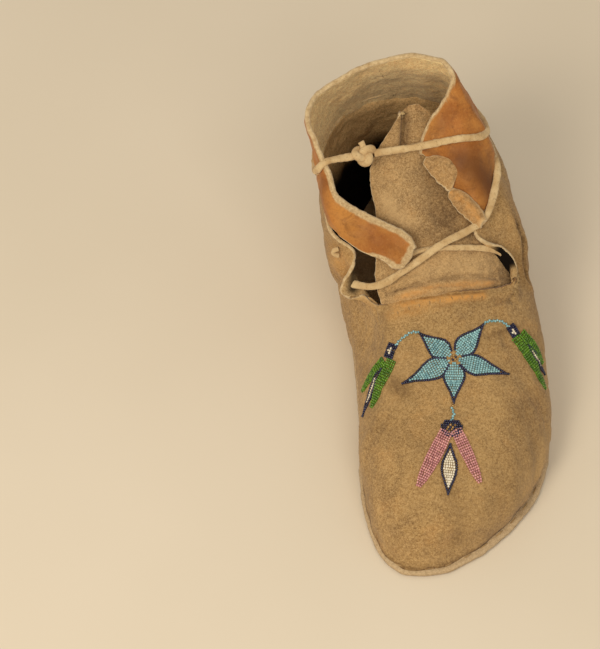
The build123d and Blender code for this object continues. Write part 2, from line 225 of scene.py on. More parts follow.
def leather(name, grid, thickness, materials, paint, closed=False, open_side=None, roundness=0.8):
    """A sheet of leather of real thickness on an outer grid: materials are outer, inner and cut edge.

    A closed grid has its cut edges at top and bottom. Any other has them all round, except at the
    side named as open, where the next sheet goes on. `roundness` is how far a cut edge bulges.
    """
    rows, cols = grid.shape[:2]
    normals = grid_normals(grid, closed)
    inner = grid - normals * thickness
    index = np.arange(rows * cols).reshape(rows, cols)
    verts = [grid.reshape(-1, 3), inner.reshape(-1, 3)]
    count = 2 * rows * cols
    faces, kinds = [], []

    def quads(table, kind, wrap=False, turn=False):
        new = table_faces(table, wrap, turn)
        faces.extend(new)
        kinds.extend([kind] * len(new))

    quads(index, 0, closed)
    quads(index + rows * cols, 1, closed, True)
    top = [(rows - 1, c) for c in range(cols)]
    bottom = [(0, c) for c in range(cols)]
    if closed:
        chains = [(top[::-1], True), (bottom, True)]
    else:
        sides = {
            "bottom": bottom,
            "last": [(r, cols - 1) for r in range(rows)],
            "top": top[::-1],
            "first": [(r, 0) for r in range(rows)][::-1],
        }
        order = list(sides)
        if open_side:
            start = order.index(open_side) + 1
            order = order[start:] + order[: start - 1]
        chain = []
        for side in order:
            chain += sides[side] if not chain else sides[side][1:]
        chains = [(chain if open_side else chain[:-1], not open_side)]
    values = {k: [v.ravel(), v.ravel()] for k, v in paint.items()}
    for chain, loop in chains:
        r, c = np.array(chain).T
        out = np.zeros((len(chain), 3))
        for edge, step in ((r == 0, 1), (r == rows - 1, -1)):
            out[edge] += unit(grid[r[edge], c[edge]] - grid[r[edge] + step, c[edge]])
        if not closed:
            for edge, step in ((c == 0, 1), (c == cols - 1, -1)):
                out[edge] += unit(grid[r[edge], c[edge]] - grid[r[edge], c[edge] + step])
        normal = normals[r, c]
        out = unit(out - normal * (out * normal).sum(1, keepdims=True))
        middle = (grid[r, c] + inner[r, c]) / 2
        table = [index[r, c]]
        for angle in ROUND_STEPS:
            a = math.radians(angle)
            verts.append(middle + thickness / 2 * (normal * math.cos(a) + out * math.sin(a) * roundness))
            table.append(count + np.arange(len(chain)))
            count += len(chain)
            for k in values:
                values[k].append(paint[k][r, c])
        table.append(index[r, c] + rows * cols)
        quads(np.array(table)[::-1], 2, loop)
    flat = {k: np.concatenate(v) for k, v in values.items()}
    return make_mesh(name, np.vstack(verts), faces, materials, kinds, flat)


def skin_tree(grid, closed):
    """A search tree over a grid's outer face, in metres."""
    rows, cols = grid.shape[:2]
    quads = table_faces(np.arange(rows * cols).reshape(rows, cols), closed)
    return BVHTree.FromPolygons([Vector(p * MM) for p in grid.reshape(-1, 3)], quads)


# ---------------------------------------------------------------- materials


def linear(rgb):
    """Linear RGBA of an sRGB colour given in 0..255."""
    out = []
    for v in rgb:
        c = v / 255
        out.append(c / 12.92 if c <= 0.04045 else ((c + 0.055) / 1.055) ** 2.4)
    return (*out, 1)


def lighter(rgb, by):
    """An sRGB colour with each channel raised, up to white."""
    return [min(255, v + by) for v in rgb]


class Nodes:
    """Short names for building one material. Its noise follows the piece's rest shape."""

    def __init__(self, name, rest=True):
        self.material = bpy.data.materials.new(name)
        self.material.use_nodes = True
        self.tree = self.material.node_tree
        self.shader = self.tree.nodes["Principled BSDF"]
        self.place = self.paint("rest", "Vector") if rest else self.add("TexCoord", "Object")

    def put(self, value, socket):
        """Sets a socket to a number or colour, or links another node's output to it."""
        if isinstance(value, (int, float, tuple)):
            socket.default_value = value
        elif value is not None:
            self.tree.links.new(value, socket)

    def add(self, kind, output, **inputs):
        """A new node with the inputs given by name, an underscore for a space; returns one output."""
        node = self.tree.nodes.new("ShaderNode" + kind)
        for key, value in inputs.items():
            self.put(value, node.inputs[key.replace("_", " ")])
        return node.outputs[output]

    def noise(self, size_mm, detail=4, rough=0.6, distortion=0.0):
        return self.add(
            "TexNoise", "Fac", Vector=self.place, Scale=1 / (size_mm * MM),
            Detail=detail, Roughness=rough, Distortion=distortion,
        )

    def cells(self, size_mm):
        return self.add("TexVoronoi", "Distance", Vector=self.place, Scale=1 / (size_mm * MM))

    def paint(self, name, output="Fac"):
        """A vertex attribute of the mesh."""
        node = self.tree.nodes.new("ShaderNodeAttribute")
        node.attribute_name = name
        return node.outputs[output]

    def between(self, value, low, high, start=0.0, end=1.0):
        return self.add(
            "MapRange", "Result", Value=value, From_Min=low, From_Max=high, To_Min=start, To_Max=end
        )

    def times(self, a, b):
        node = self.tree.nodes.new("ShaderNodeMath")
        node.operation = "MULTIPLY"
        self.put(a, node.inputs[0])
        self.put(b, node.inputs[1])
        return node.outputs["Value"]

    def mix(self, amount, a, b):
        node = self.tree.nodes.new("ShaderNodeMix")
        node.data_type = "RGBA"
        for value, socket in zip((amount, a, b), [s for s in node.inputs if s.enabled]):
            self.put(value, socket)
        return next(s for s in node.outputs if s.enabled)

    def over(self, colour, tint, source, low, high, most=1.0):
        """Lays an sRGB tint over a colour, from none where the source is low to `most` where it is high."""
        return self.mix(self.between(source, low, high, 0, most), colour, linear(tint))

    def bump(self, height, strength, distance_mm, after=None):
        return self.add(
            "Bump", "Normal", Height=height, Strength=strength, Distance=distance_mm * MM, Normal=after
        )

    def done(self, colour, rough, normal, **constants):
        inputs = {"Base_Color": colour, "Roughness": rough, "Normal": normal, **constants}
        for key, value in inputs.items():
            self.put(value, self.shader.inputs[key.replace("_", " ")])
        return self.material


DEEP_SHADE = (17, 11, 7)                # painted shade: the colour of the dark inside of the shoe
DULL_EDGE = (128, 92, 50)               # a cut edge painted darker, along the front of the mouth
BARE_EDGE = (206, 178, 132), (164, 132, 90)     # grain rubbed off near a cut edge, light and dark
NAP = 0.45                              # how far the suede's fibres stand up, as bump strength


def suede(name, light, mid, dark, worn, grime=0.5, speckle=0.6, painted_shade=False):
    """Brushed hide: blotches, mottling, dirt in the nap, and painted wear, stains, painted shade and pale
    rubbed places.

    For the upper's lining it has none of these marks; painted shade darkens it instead, deep inside the shoe
    and in the gaps.
    """
    n = Nodes(name)
    colour = n.over(linear(mid), light, n.noise(34, 6, distortion=0.5), 0.36, 0.64)
    colour = n.over(colour, dark, n.noise(17, 5, 0.65, 1.2), 0.48, 0.74, 0.55)
    mottle = n.between(n.noise(6, 6, 0.75, 1.5), 0.5, 0.8)
    colour = n.mix(n.times(mottle, grime), colour, linear(dark))
    colour = n.over(colour, worn, n.noise(13, distortion=0.3), 0.54, 0.8, 0.3)
    bright = lighter(light, 42)
    grain = n.noise(1.3, 5, 0.85)
    colour = n.over(colour, bright, grain, 0.5, 0.62, 0.5)
    colour = n.over(colour, dark, grain, 0.5, 0.38, 0.55)
    colour = n.over(colour, dark, n.noise(2.6, 5, 0.8), 0.58, 0.72, speckle)
    fibre = n.noise(0.45, 3, 0.85)
    colour = n.over(colour, bright, fibre, 0.42, 0.66, 0.6)
    # painted shade on the upper's lining
    if painted_shade:
        colour = n.mix(n.paint("painted_shade"), colour, linear(DEEP_SHADE))
    else:
        ragged = n.between(n.noise(2.4, 4, 0.75), 0.3, 0.7, 0.25, 1.25)
        for mark, tint in (("worn", worn), ("stain_and_shade", dark), ("pale", lighter(light, 28))):
            amount = n.add("Clamp", "Result", Value=n.times(n.paint(mark), ragged))
            colour = n.mix(amount, colour, linear(tint))
    normal = n.bump(n.noise(6), 0.45, 1.1)
    normal = n.bump(n.noise(1.5, 4, 0.75), NAP, 0.6, normal)
    normal = n.bump(fibre, NAP, 0.3, normal)
    sheen = 0.0 if painted_shade else 0.12
    return n.done(colour, 0.95, normal, Sheen_Weight=sheen, Sheen_Roughness=0.6, Specular_IOR_Level=0.12)


def smooth_leather(name, light, mid, dark):
    """The grain side of the cuff's leather: orange, rubbed, with fine creases and darker soiling."""
    n = Nodes(name)
    colour = n.over(linear(mid), light, n.noise(20, 5, distortion=0.4), 0.36, 0.64)
    colour = n.over(colour, dark, n.noise(9, 5, 0.7, 0.8), 0.5, 0.78, 0.75)
    colour = n.over(colour, dark, n.noise(1.1, 3, 0.7), 0.55, 0.72, 0.4)
    fibre = n.noise(1.3, 4, 0.75)
    colour = n.over(colour, lighter(light, 14), fibre, 0.5, 0.7, 0.4)
    colour = n.mix(n.paint("stain_and_shade"), colour, linear(dark))
    bare = n.over(linear(BARE_EDGE[0]), BARE_EDGE[1], fibre, 0.35, 0.65)
    colour = n.mix(n.paint("pale"), colour, bare)
    normal = n.bump(n.noise(5), 0.25, 0.8)
    normal = n.bump(n.cells(0.8), 0.12, 0.2, normal)
    normal = n.bump(n.noise(1.0, 4, 0.7), 0.2, 0.25, normal)
    rough = n.between(n.noise(7), 0.3, 0.7, 0.55, 0.8)
    return n.done(colour, rough, normal, Specular_IOR_Level=0.3, Sheen_Weight=0.1)


def cut_edge(name, light, dark):
    """The pale fibrous edge of cut hide."""
    n = Nodes(name)
    colour = n.over(linear(light), dark, n.noise(2.2, 4, 0.7), 0.35, 0.7)
    colour = n.mix(n.paint("dull"), colour, linear(DULL_EDGE))
    normal = n.bump(n.noise(0.5, 3, 0.8), 0.5, 0.3)
    return n.done(colour, 0.95, normal, Sheen_Weight=0.25, Sheen_Roughness=0.6, Specular_IOR_Level=0.15)


def thong_leather(name, light, mid, dark):
    """A hand-cut thong: matt, dirty in its nicks, paler along the rubbed faces."""
    n = Nodes(name)
    colour = n.over(linear(mid), light, n.noise(7), 0.35, 0.65)
    colour = n.over(colour, dark, n.noise(1.4, 4, 0.75), 0.54, 0.74, 0.7)
    normal = n.bump(n.noise(2.2, 4, 0.7), 0.45, 0.5)
    normal = n.bump(n.noise(0.45, 3, 0.8), 0.35, 0.2, normal)
    return n.done(colour, 0.9, normal, Sheen_Weight=0.15, Specular_IOR_Level=0.2)


def glass_bead(name, light, dark, roughness=0.22):
    """Opaque glossy glass; each bead has its own tint."""
    n = Nodes(name)
    colour = n.mix(n.paint("tint"), linear(light), linear(dark))
    colour = n.over(colour, dark, n.noise(0.6, 3), 0.5, 0.8, 0.25)
    normal = n.bump(n.noise(0.3, 2, 0.5), 0.08, 0.05)
    return n.done(colour, roughness, normal, Specular_IOR_Level=0.5, Coat_Weight=0.25)


# Colours are light, mid, dark and, for suede, worn. Cut edges and beads are light and dark.
SUEDE = suede("suede_upper", (168, 132, 80), (138, 103, 56), (84, 56, 28), (206, 146, 76), 0.6, 0.5)
TONGUE = suede("suede_tongue", (176, 140, 90), (136, 101, 58), (74, 48, 24), (204, 146, 80), 0.75, 0.65)
LINING = suede("suede_cuff_lining", (248, 204, 144), (228, 180, 120), (146, 106, 64), (214, 160, 96))
# The upper's lining, which carries painted shade inside the shoe
UPPER_LINING = suede(
    "suede_upper_lining", (224, 180, 122), (200, 156, 100), (122, 88, 52), (200, 150, 90), painted_shade=True
)
ORANGE = smooth_leather("orange_leather", (190, 128, 58), (166, 100, 38), (98, 54, 14))
EDGE = cut_edge("cut_edge", (212, 186, 142), (170, 138, 94))
SOLE = suede("sole_hide", (180, 152, 112), (154, 124, 84), (100, 74, 46), (178, 134, 82), speckle=0.5)
THONG = thong_leather("thong_leather", (212, 184, 138), (188, 154, 106), (120, 88, 50))
SINEW = thong_leather("sinew", (176, 144, 98), (146, 112, 70), (84, 58, 32))
BEADS = {
    "blue": glass_bead("blue_beads", (156, 200, 202), (112, 158, 166)),
    "navy": glass_bead("navy_beads", (34, 34, 74), (14, 14, 40)),
    "green": glass_bead("green_beads", (104, 150, 30), (54, 96, 12)),
    "pink": glass_bead("pink_beads", (222, 158, 152), (180, 116, 118)),
    "white": glass_bead("white_beads", (244, 234, 212), (216, 200, 170)),
    "gold": glass_bead("gold_beads", (176, 136, 74), (120, 84, 38), 0.3),
}

# ---------------------------------------------------------------- camera, stage and light

CAMERA_AZIMUTH, CAMERA_HEIGHT = math.radians(-8), math.radians(55)
CAMERA_DISTANCE = 1.2                   # metres, as are the lights' places and the floor's size
LENS, SENSOR = 129.25, 36               # millimetres
AIM = Vector((-64.6, 32.5, 0)) * MM
FLOOR_RADIUS, FLOOR_SIDES = 4, 96

scene = bpy.context.scene
back = Vector((
    math.sin(CAMERA_AZIMUTH) * math.cos(CAMERA_HEIGHT),
    -math.cos(CAMERA_AZIMUTH) * math.cos(CAMERA_HEIGHT),
    math.sin(CAMERA_HEIGHT),
))
camera = bpy.data.objects.new("camera", bpy.data.cameras.new("camera"))
scene.collection.objects.link(camera)
camera.location = AIM + back * CAMERA_DISTANCE
camera.rotation_euler = (-back).to_track_quat("-Z", "Y").to_euler()
camera.data.lens = LENS
camera.data.sensor_width = SENSOR
scene.camera = camera

scene.view_settings.view_transform = "Standard"
world = bpy.data.worlds.new("studio")
world.use_nodes = True
world.node_tree.nodes["Background"].inputs["Color"].default_value = linear((232, 226, 214))
world.node_tree.nodes["Background"].inputs["Strength"].default_value = 0.62
scene.world = world


def area_light(name, place, target, size, power, colour):
    data = bpy.data.lights.new(name, "AREA")
    data.size = size
    data.energy = power
    data.color = colour
    lamp = bpy.data.objects.new(name, data)
    lamp.location = place
    lamp.rotation_euler = (Vector(target) - Vector(place)).to_track_quat("-Z", "Y").to_euler()
    scene.collection.objects.link(lamp)


area_light("key", (-0.85, -0.72, 1.15), (0, 0, 0.03), 0.6, 10.8, (1.0, 0.92, 0.78))
area_light("fill", (0.15, -1.1, 1.25), (0, 0.05, 0.05), 0.9, 6.4, (1.0, 0.97, 0.9))

n = Nodes("backdrop_paper", rest=False)
paper = n.over(linear((229, 215, 194)), (223, 209, 187), n.noise(240, 3, 0.5), 0.3, 0.7)
n.done(paper, 0.95, n.bump(n.noise(3, 3), 0.03, 0.3), Specular_IOR_Level=0.1)
floor_mesh = bpy.data.meshes.new("floor")
turns = np.linspace(0, 2 * math.pi, FLOOR_SIDES, endpoint=False)
ring = [(FLOOR_RADIUS * math.cos(a), FLOOR_RADIUS * math.sin(a), 0) for a in turns]
floor_mesh.from_pydata(ring, [], [list(range(FLOOR_SIDES))])
floor_mesh.materials.append(n.material)
floor = bpy.data.objects.new("floor", floor_mesh)
scene.collection.objects.link(floor)

# ---------------------------------------------------------------- thong

THONG_TURN = [
    (-34.8, 53.6, 106.3), (-44, 52.2, 107.4), (-50, 50.6, 108.4), (-53.6, 50, 104), (-53.6, 54, 96),
    (-52.6, 64, 90), (-51, 76, 88), (-46, 88, 88), (-34, 98, 89), (-12, 105, 90), (10, 102.5, 92),
    (22, 94.5, 95), (30.4, 80.5, 98), (32.6, 70, 101), (32, 60.6, 105.2), (27, 54.6, 108.8), (16, 53, 112.2),
    (-1.5, 54.2, 107.6), (-12.5, 55.2, 105.6), (-25.4, 54, 106.3),
]
HUGGING = slice(4, 14)                  # where the turn lies flat against the cuff, out of sight of its front
THONG_CROSSING = [
    (30.6, 74, 85), (34.8, 62, 89), (36.2, 49.5, 91.4), (32.4, 38, 87.6), (26.6, 25, 83),
    (15.5, 19.4, 81.2), (3, 14.6, 81.2), (-8, 10.4, 75.8), (-17.6, 7.5, 71.2), (-26.3, 4.6, 67),
    (-33.6, 4.8, 64.6), (-39, 9, 61.6), (-43, 12, 60),
]
THONG_INNER = [
    (-18, 12.6, 73.9), (-11.8, 15, 75.8), (-1.5, 14.2, 77.8), (8, 14, 76.9), (20, 13.9, 74.9),
    (28, 13.6, 72), (34, 12.4, 68), (37.6, 12.6, 61),
]
THONG_SLIT = [(-47, 23.4, 73.6), (-49.6, 23.2, 73.4), (-49.8, 22, 71.4), (-47, 21.6, 70.6)]
THONG_UP = np.array((0, -0.55, 0.83))   # the way the strips' flat faces look, before they twist
THONG_SIDES = 14


def spline_points(points):
    """Points along a NURBS curve that has the route as its control points."""
    curve = bpy.data.curves.new("route", "CURVE")
    curve.dimensions = "3D"
    curve.resolution_u = 24
    spline = curve.splines.new("NURBS")
    spline.points.add(len(points) - 1)
    for control, p in zip(spline.points, points):
        control.co = (*p, 1)
    spline.order_u = 3
    spline.use_endpoint_u = True
    holder = bpy.data.objects.new("route", curve)
    mesh = bpy.data.meshes.new_from_object(holder)
    out = np.array([v.co for v in mesh.vertices], float)
    bpy.data.objects.remove(holder)
    return out


def thong(name, path, width, thick, seed, *nodes, pitch=0.6):
    """A flat, hand-cut strip of leather along a path: its width and lie change a little as it goes."""
    length = steps_of(path).sum()
    count = max(24, int(length / pitch))
    p = even(path, count)
    tangent = unit(np.gradient(p, axis=0))
    side = unit(np.cross(tangent, THONG_UP))
    lift = np.cross(side, tangent)
    s = np.linspace(0, 1, count)

    def waver(size, a, b):
        return np.array([noise.noise(Vector((length * t / size, a, b))) for t in s])

    wave, nick, twist = waver(9, seed, 0), waver(2.6, seed, 5), waver(26, seed, 9) * 1.1
    c, d = np.cos(twist)[:, None], np.sin(twist)[:, None]
    w = width / 2 * (1 + 0.2 * wave + 0.12 * nick)
    h = thick / 2 * (1 - 0.18 * wave + 0.12 * nick)
    verts = []
    for k in range(THONG_SIDES):
        a = 2 * math.pi * k / THONG_SIDES
        x = math.copysign(abs(math.cos(a)) ** 0.72, math.cos(a))
        y = math.copysign(abs(math.sin(a)) ** 0.82, math.sin(a))
        rough = 1 + (waver(1.7, k * 0.9, seed + 3) * 0.09)[:, None]
        ring_x = (w * x)[:, None] * rough
        ring_y = (h * y)[:, None] * rough
        verts.append(p + side * (ring_x * c - ring_y * d) + lift * (ring_x * d + ring_y * c))
    verts = np.stack(verts, 1).reshape(-1, 3)
    return stand_in(make_mesh(name, verts, tube_faces(count, THONG_SIDES), [THONG]), "thong", *nodes)


# ---------------------------------------------------------------- upper

SOLE_OUTLINE = [
    (-26, -122), (-8, -119.5), (15, -107), (35, -88), (46, -64), (48.5, -40), (45, -5), (40, 40),
    (31, 85), (16, 112), (0, 120), (-16, 113), (-30, 85), (-38, 45), (-41, 0), (-44, -35),
    (-49, -70), (-48, -98), (-41, -116),
]
OUTLINE_POINTS = 1200
# The mouth's edge, anticlockwise from the instep, with the place on the sole below each point
MOUTH = [
    ((4, -3.6, 65), (-20, -121)), ((22, -3, 62.6), (28, -95)), ((33.5, 0.2, 59.2), (47.5, -57)),
    ((38, 3.5, 60.5), (48, -34)), ((38.6, 7.5, 65.5), (47.5, -25)), ((36.2, 11.5, 70), (47, -16)),
    ((31.9, 14.4, 73.2), (46, -6)), ((25.4, 15.8, 76.4), (45, 2)), ((20.6, 18.4, 79.4), (44, 9)),
    ((20.4, 23.4, 82.4), (43, 16)), ((25.4, 31, 84.6), (42, 23)), ((33, 40, 88), (41, 32)),
    ((36.4, 52, 90.5), (39, 45)), ((36.4, 60, 91), (37.5, 55)), ((34.6, 75, 88), (34, 72)),
    ((23.6, 97, 86), (22, 102)), ((-3, 107, 85.4), (0, 120)), ((-32, 99.6, 85.4), (-22, 105)),
    ((-49, 75, 85), (-33, 75)), ((-50.8, 50, 82.6), (-37, 50)), ((-51, 34, 78.6), (-39, 35)),
    ((-47.8, 26, 77.6), (-39.6, 27)), ((-40.6, 19.6, 75.6), (-40, 20)), ((-41, 16.5, 70.5), (-40.3, 15)),
    ((-44.4, 13.5, 65.5), (-40.6, 10)), ((-47, 11, 60.5), (-41, 4)), ((-47.2, 8.6, 57), (-41.5, -2)),
    ((-43.6, 6, 55), (-42, -8)), ((-40, 6.3, 55), (-42.6, -14)), ((-36.4, 6, 55.4), (-43.4, -22)),
    ((-32.3, 2.6, 53.5), (-44.4, -33)), ((-27, -0.2, 55.2), (-46.5, -60)), ((-14, -1, 62.2), (-48, -92)),
]
MOUTH_STEPS = 40                        # steps of the fine mouth line from each point to the next
COLUMNS, ROWS = 340, 118
EVENLY, BY_POINT = 0.55, 0.45           # how far the columns are spread evenly, and how far by mouth point
BEFORE_START = 0.97                     # mouth points further round the outline count as before its start
FEATHER = ((-36, 1.0), (-12, 2.2), (30, 3.6))    # across the sole, how far in from its edge the upper is sewn
SOLE_TOP = 3.2
UPPER_THICK = 2.0

outline = even(smooth_path(SOLE_OUTLINE, OUTLINE_POINTS, True), OUTLINE_POINTS, True)
outline_inward = inward(outline)
below = [np.argmin(np.hypot(*(outline - foot).T)) for _, foot in MOUTH]
fractions = np.array(below) / OUTLINE_POINTS
fractions[fractions > BEFORE_START] -= 1
spans = np.append(fractions, fractions[0] + 1)
POINTS = len(MOUTH)
mouth_fine = smooth_path([m for m, _ in MOUTH], POINTS * MOUTH_STEPS, True)
mouth_fine = np.vstack([mouth_fine, mouth_fine[:1]])
mouth_at = np.arange(POINTS * MOUTH_STEPS + 1) / MOUTH_STEPS
column = (np.arange(COLUMNS) + 0.5) / COLUMNS
by_point = np.interp(column, np.arange(POINTS + 1) / POINTS, spans - spans[0])
share = column * EVENLY + BY_POINT * by_point + spans[0]
mouth_line = sample(mouth_fine, mouth_at, np.interp(share, spans, np.arange(POINTS + 1)))
on_outline = ((share % 1) * OUTLINE_POINTS).astype(int) % OUTLINE_POINTS
feather = np.interp(outline[on_outline][:, 0], *np.array(FEATHER).T)
base_xy = outline[on_outline] + outline_inward[on_outline] * feather[:, None]
base_line = np.column_stack([base_xy, np.full(COLUMNS, SOLE_TOP)])

# The grid is laid on the CAD upper: each column's points are found by looking at it from far outside
CAST_FROM, CAST_LENGTH = 200, 0.196     # millimetres out from the core, and metres of the ray
RIB_RISE = 12                           # how high a column's line bows over its straight run
NEAR_MOUTH = 9                          # hits this near the mouth's edge give way to it
upper_cad = BVHTree.FromObject(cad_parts["upper"], bpy.context.evaluated_depsgraph_get())
heelward = ramp(base_line[:, 1], -70, 55)[:, None]
core = np.array((0, -45, 10.0)) * (1 - heelward) + np.array((-3, 62, 34.0)) * heelward
sideways = ramp(base_line[:, 1], -45, 5) * (1 - ramp(base_line[:, 1], 75, 105))
core[:, 1] = core[:, 1] * (1 - sideways) + np.clip(base_line[:, 1], -45, 62) * sideways
rise = np.linspace(0, 1, ROWS)
upper_grid = np.zeros((ROWS, COLUMNS, 3))
for c in range(COLUMNS):
    a, b, k = base_line[c], mouth_line[c], core[c]
    rib = a + (b - a) * rise[:, None]
    rib[:, 2] += np.sin(rise * math.pi) * RIB_RISE
    hits = np.full((ROWS, 3), np.nan)
    for r in range(ROWS):
        d = unit(rib[r] - k)
        hit = upper_cad.ray_cast(Vector((k + d * CAST_FROM) * MM), Vector(-d), CAST_LENGTH)[0]
        if hit is not None:
            hits[r] = np.array(hit) / MM
    hits[0] = a
    good = ~np.isnan(hits[:, 0]) & (np.linalg.norm(hits - b, axis=1) > NEAR_MOUTH)
    known = np.vstack([hits[good], b])
    lengths = distances(known)
    upper_grid[:, c] = sample(known, lengths, np.linspace(0, lengths[-1], ROWS))

hold = np.zeros((ROWS, COLUMNS))
hold[0], hold[-1] = 1, 1
upper_grid = relax(upper_grid, 26, True, hold)
# Broad pushes of the skin: centre, reach along each axis, and how far
PUSHES = [
    ((-49, -6, 42), (16, 20, 15), (7.5, 0, 0)), ((46, -14, 34), (14, 26, 20), (3.2, 0, 0)),
    ((40, 62, 84), (14, 18, 20), (-2.6, 0, 0)),
]
from_mouth = 1 - ramp(rise, 0.94, 1.0)[:, None]
for centre, reach, push in PUSHES:
    d = ((upper_grid - np.array(centre)) / np.array(reach)) ** 2
    upper_grid = upper_grid + (np.exp(-d.sum(-1)) * from_mouth)[..., None] * np.array(push)

# Lines of the instep that are both a fold and a mark
INSTEP_SEAM = [(-24, -6.5, 58), (-8, -9, 62), (6, -9.5, 62), (22, -8.5, 60), (36, -5, 54)]
INSTEP_CREASE = [(-8, -16.5, 59), (6, -12.5, 61), (18, -11, 60), (30, -7.5, 57)]
INSTEP_PUCKER = [(-12, -14, 60), (-6, -11.5, 62), (4, -7.5, 64), (14.5, -5.4, 64)]
# Folds, ridges and dents of the leather: a line, its half width, and its height
FOLDS = [
    ([(-25.5, -3, 58), (-7, -5.5, 64), (8, -6.5, 64), (22, -5.5, 62), (35, -2, 57)], 1.3, 1.3),
    (INSTEP_SEAM, 1.0, -1.3),
    (INSTEP_PUCKER, 1.4, 1.3),
    (INSTEP_CREASE, 1.1, -1.2),
    ([(-2, -19.5, 58), (12, -15.5, 59.5), (26, -12, 57)], 1.5, 0.9),
    ([(2, -23, 56.5), (16, -19, 57), (30, -14, 54)], 1.3, -0.8),
    ([(-27, -9, 54), (-20, -18, 53), (-16, -26, 52)], 1.6, -0.7),
    ([(-36, -113, 5), (-33, -107, 12), (-31, -101, 18)], 2.2, 1.4),
    ([(22, -20, 53), (32, -14, 52), (41, -7, 45)], 1.8, 0.8),
    ([(28, -26, 49), (37, -19, 46), (44, -11, 40)], 1.7, -0.9),
    ([(-34, -12, 49), (-38, -2, 46), (-41, 8, 44)], 2.0, -0.9),
    ([(44, -34, 33), (48, -20, 30), (48, -2, 34)], 2.6, -0.9),
    ([(-12, -117, 8), (-9, -106, 20), (-8, -95, 28), (-9, -88, 32)], 4.5, -1.6),
    ([(20, -100, 14), (22, -88, 26), (20, -74, 33)], 4.5, 1.4),
    ([(35, -82, 14), (34, -70, 26), (30, -56, 35)], 3.5, -1.6),
    ([(-20, -117, 8), (-18, -104, 24), (-16, -90, 31)], 5.0, 0.9),
    ([(-34, -110, 10), (-32, -98, 24), (-30, -84, 29)], 4.0, -0.9),
    ([(-46, -62, 14), (-42, -56, 28), (-34, -50, 36)], 5.0, 0.8),
    ([(44, -58, 22), (38, -48, 36), (28, -42, 42)], 5.0, -1.0),
    ([(47, 12, 24), (47, 20, 44), (45, 24, 62)], 2.4, 0.9),
    ([(-46, 22, 26), (-47, 24, 44), (-48, 27, 60)], 3.5, 0.8),
    ([(46, 44, 20), (46, 50, 40), (42, 58, 62), (38, 64, 78)], 4.0, -1.4),
    ([(-42, 52, 20), (-46, 56, 40), (-48, 62, 62), (-49, 66, 76)], 4.0, -1.3),
    ([(34, 84, 14), (38, 82, 36), (36, 84, 60)], 4.5, 1.2),
    ([(-34, 88, 14), (-39, 86, 38), (-42, 84, 64)], 4.5, 1.1),
    ([(20, 104, 20), (24, 100, 44), (24, 98, 66)], 4.0, -1.0),
    ([(-24, 106, 22), (-28, 101, 46), (-32, 98, 68)], 4.0, -1.0),
]
SIDE_SEAM = [(37.5, 36, 85), (41.5, 30, 76), (43.8, 24, 66), (44.6, 18, 57), (45.2, 12, 48), (46.2, 6, 38)]
# Marks: a line, its half width, and its strength
WORN = [
    ([(-25.5, -3, 58), (-7, -5.5, 64), (8, -6.5, 64), (20, -5.5, 62)], 1.9, 1.0),
    ([(-27, -6, 56), (-18, -8, 60), (-10, -8, 62)], 3.0, 0.6),
    (INSTEP_PUCKER, 1.5, 1.0),
    ([(-47, 22, 66), (-48, 14, 60), (-47, 8, 54)], 9, 0.4),
    ([(-36.6, -73.4, 35), (-36, -72.6, 35.4)], 1.6, 0.6), ([(-45, -70, 29), (-44.6, -69.4, 29.4)], 1.5, 0.5),
    ([(43, 44, 84), (47, 34, 66)], 5, 0.25),
]
# Real stains, and painted shade in the upper's creases and folds
STAINS_AND_SHADE = [
    ([(-26, -44, 46), (-30, -39, 46)], 4.6, 1.0),
    # Partly dirt, partly painted shade: the instep's seam and crease, and the line under the mouth's edge
    (INSTEP_SEAM, 0.9, 0.85),
    (INSTEP_CREASE, 1.0, 0.75),
    ([(-28, -2, 57), (-14, -3.4, 62), (4, -5, 65), (22, -4.4, 62.6)], 0.8, 0.8),
    # Painted shade on the shaded slope of the wrinkles on the right of the instep
    ([(20, -24, 53), (34, -18, 49), (43, -10, 42)], 1.6, 0.6),
    ([(30, -60, 36), (36, -54, 33), (40, -46, 31)], 9, 0.35),
    # Painted shade in the broad folds and dents of the toe
    ([(24, -82, 28), (12, -100, 22)], 12, 0.3),
    ([(-9, -112, 14), (-8, -102, 23), (-9, -94, 28)], 4, 0.6), ([(32, -78, 22), (36, -66, 26)], 6, 0.35),
    ([(-49, 22.4, 72), (-49.6, 20, 66.6)], 1.0, 1.0), ([(-48.6, 23, 73), (-48.8, 22, 71.6)], 1.8, 0.7),
    ([(-30, -6, 54), (-34, -20, 48)], 4, 0.4),
    ([(-38, -60, 36), (-42, -46, 33)], 7, 0.3),
    ([(-30, -12, 53), (-36, -2, 50)], 3.5, 0.5),
    ([(44, 30, 60), (47, 18, 42), (48, 0, 30)], 7, 0.4),
    ([(0, 118, 20), (-3, 112, 60)], 9, 0.4),
    ([(40, 60, 20), (36, 90, 20), (10, 112, 18)], 12, 0.35),
]
PALE = [
    ([(-44.2, -93.4, 18.6), (-43.9, -92.6, 19)], 1.0, 1.0),
    ([(-41, 16.5, 70.5), (-44.4, 13.5, 65.5), (-47, 11, 60.5)], 1.3, 0.8),
    ([(-47.2, 8.6, 57), (-43, 6, 55), (-36.4, 6, 55.4), (-32, 3, 53)], 1.8, 1.0),
    ([(33, -90, 16), (44, -66, 18)], 8, 0.35),
    ([(-36, -30, 48), (-20, -36, 51)], 10, 0.25),
]
# Painted shade on the lining inside the curled left lip: a line, its half width and its strength
LEFT_LIP_SHADE = [
    ([(-41, 18, 68), (-41.5, 13, 64), (-42, 10, 58)], 4.2, 1.0),
    ([(-45, 13, 62), (-46, 8, 56), (-38, 6, 55)], 6, 0.35),
]
GATHERS = 58                            # puckers round the foot, where the upper is sewn to the sole

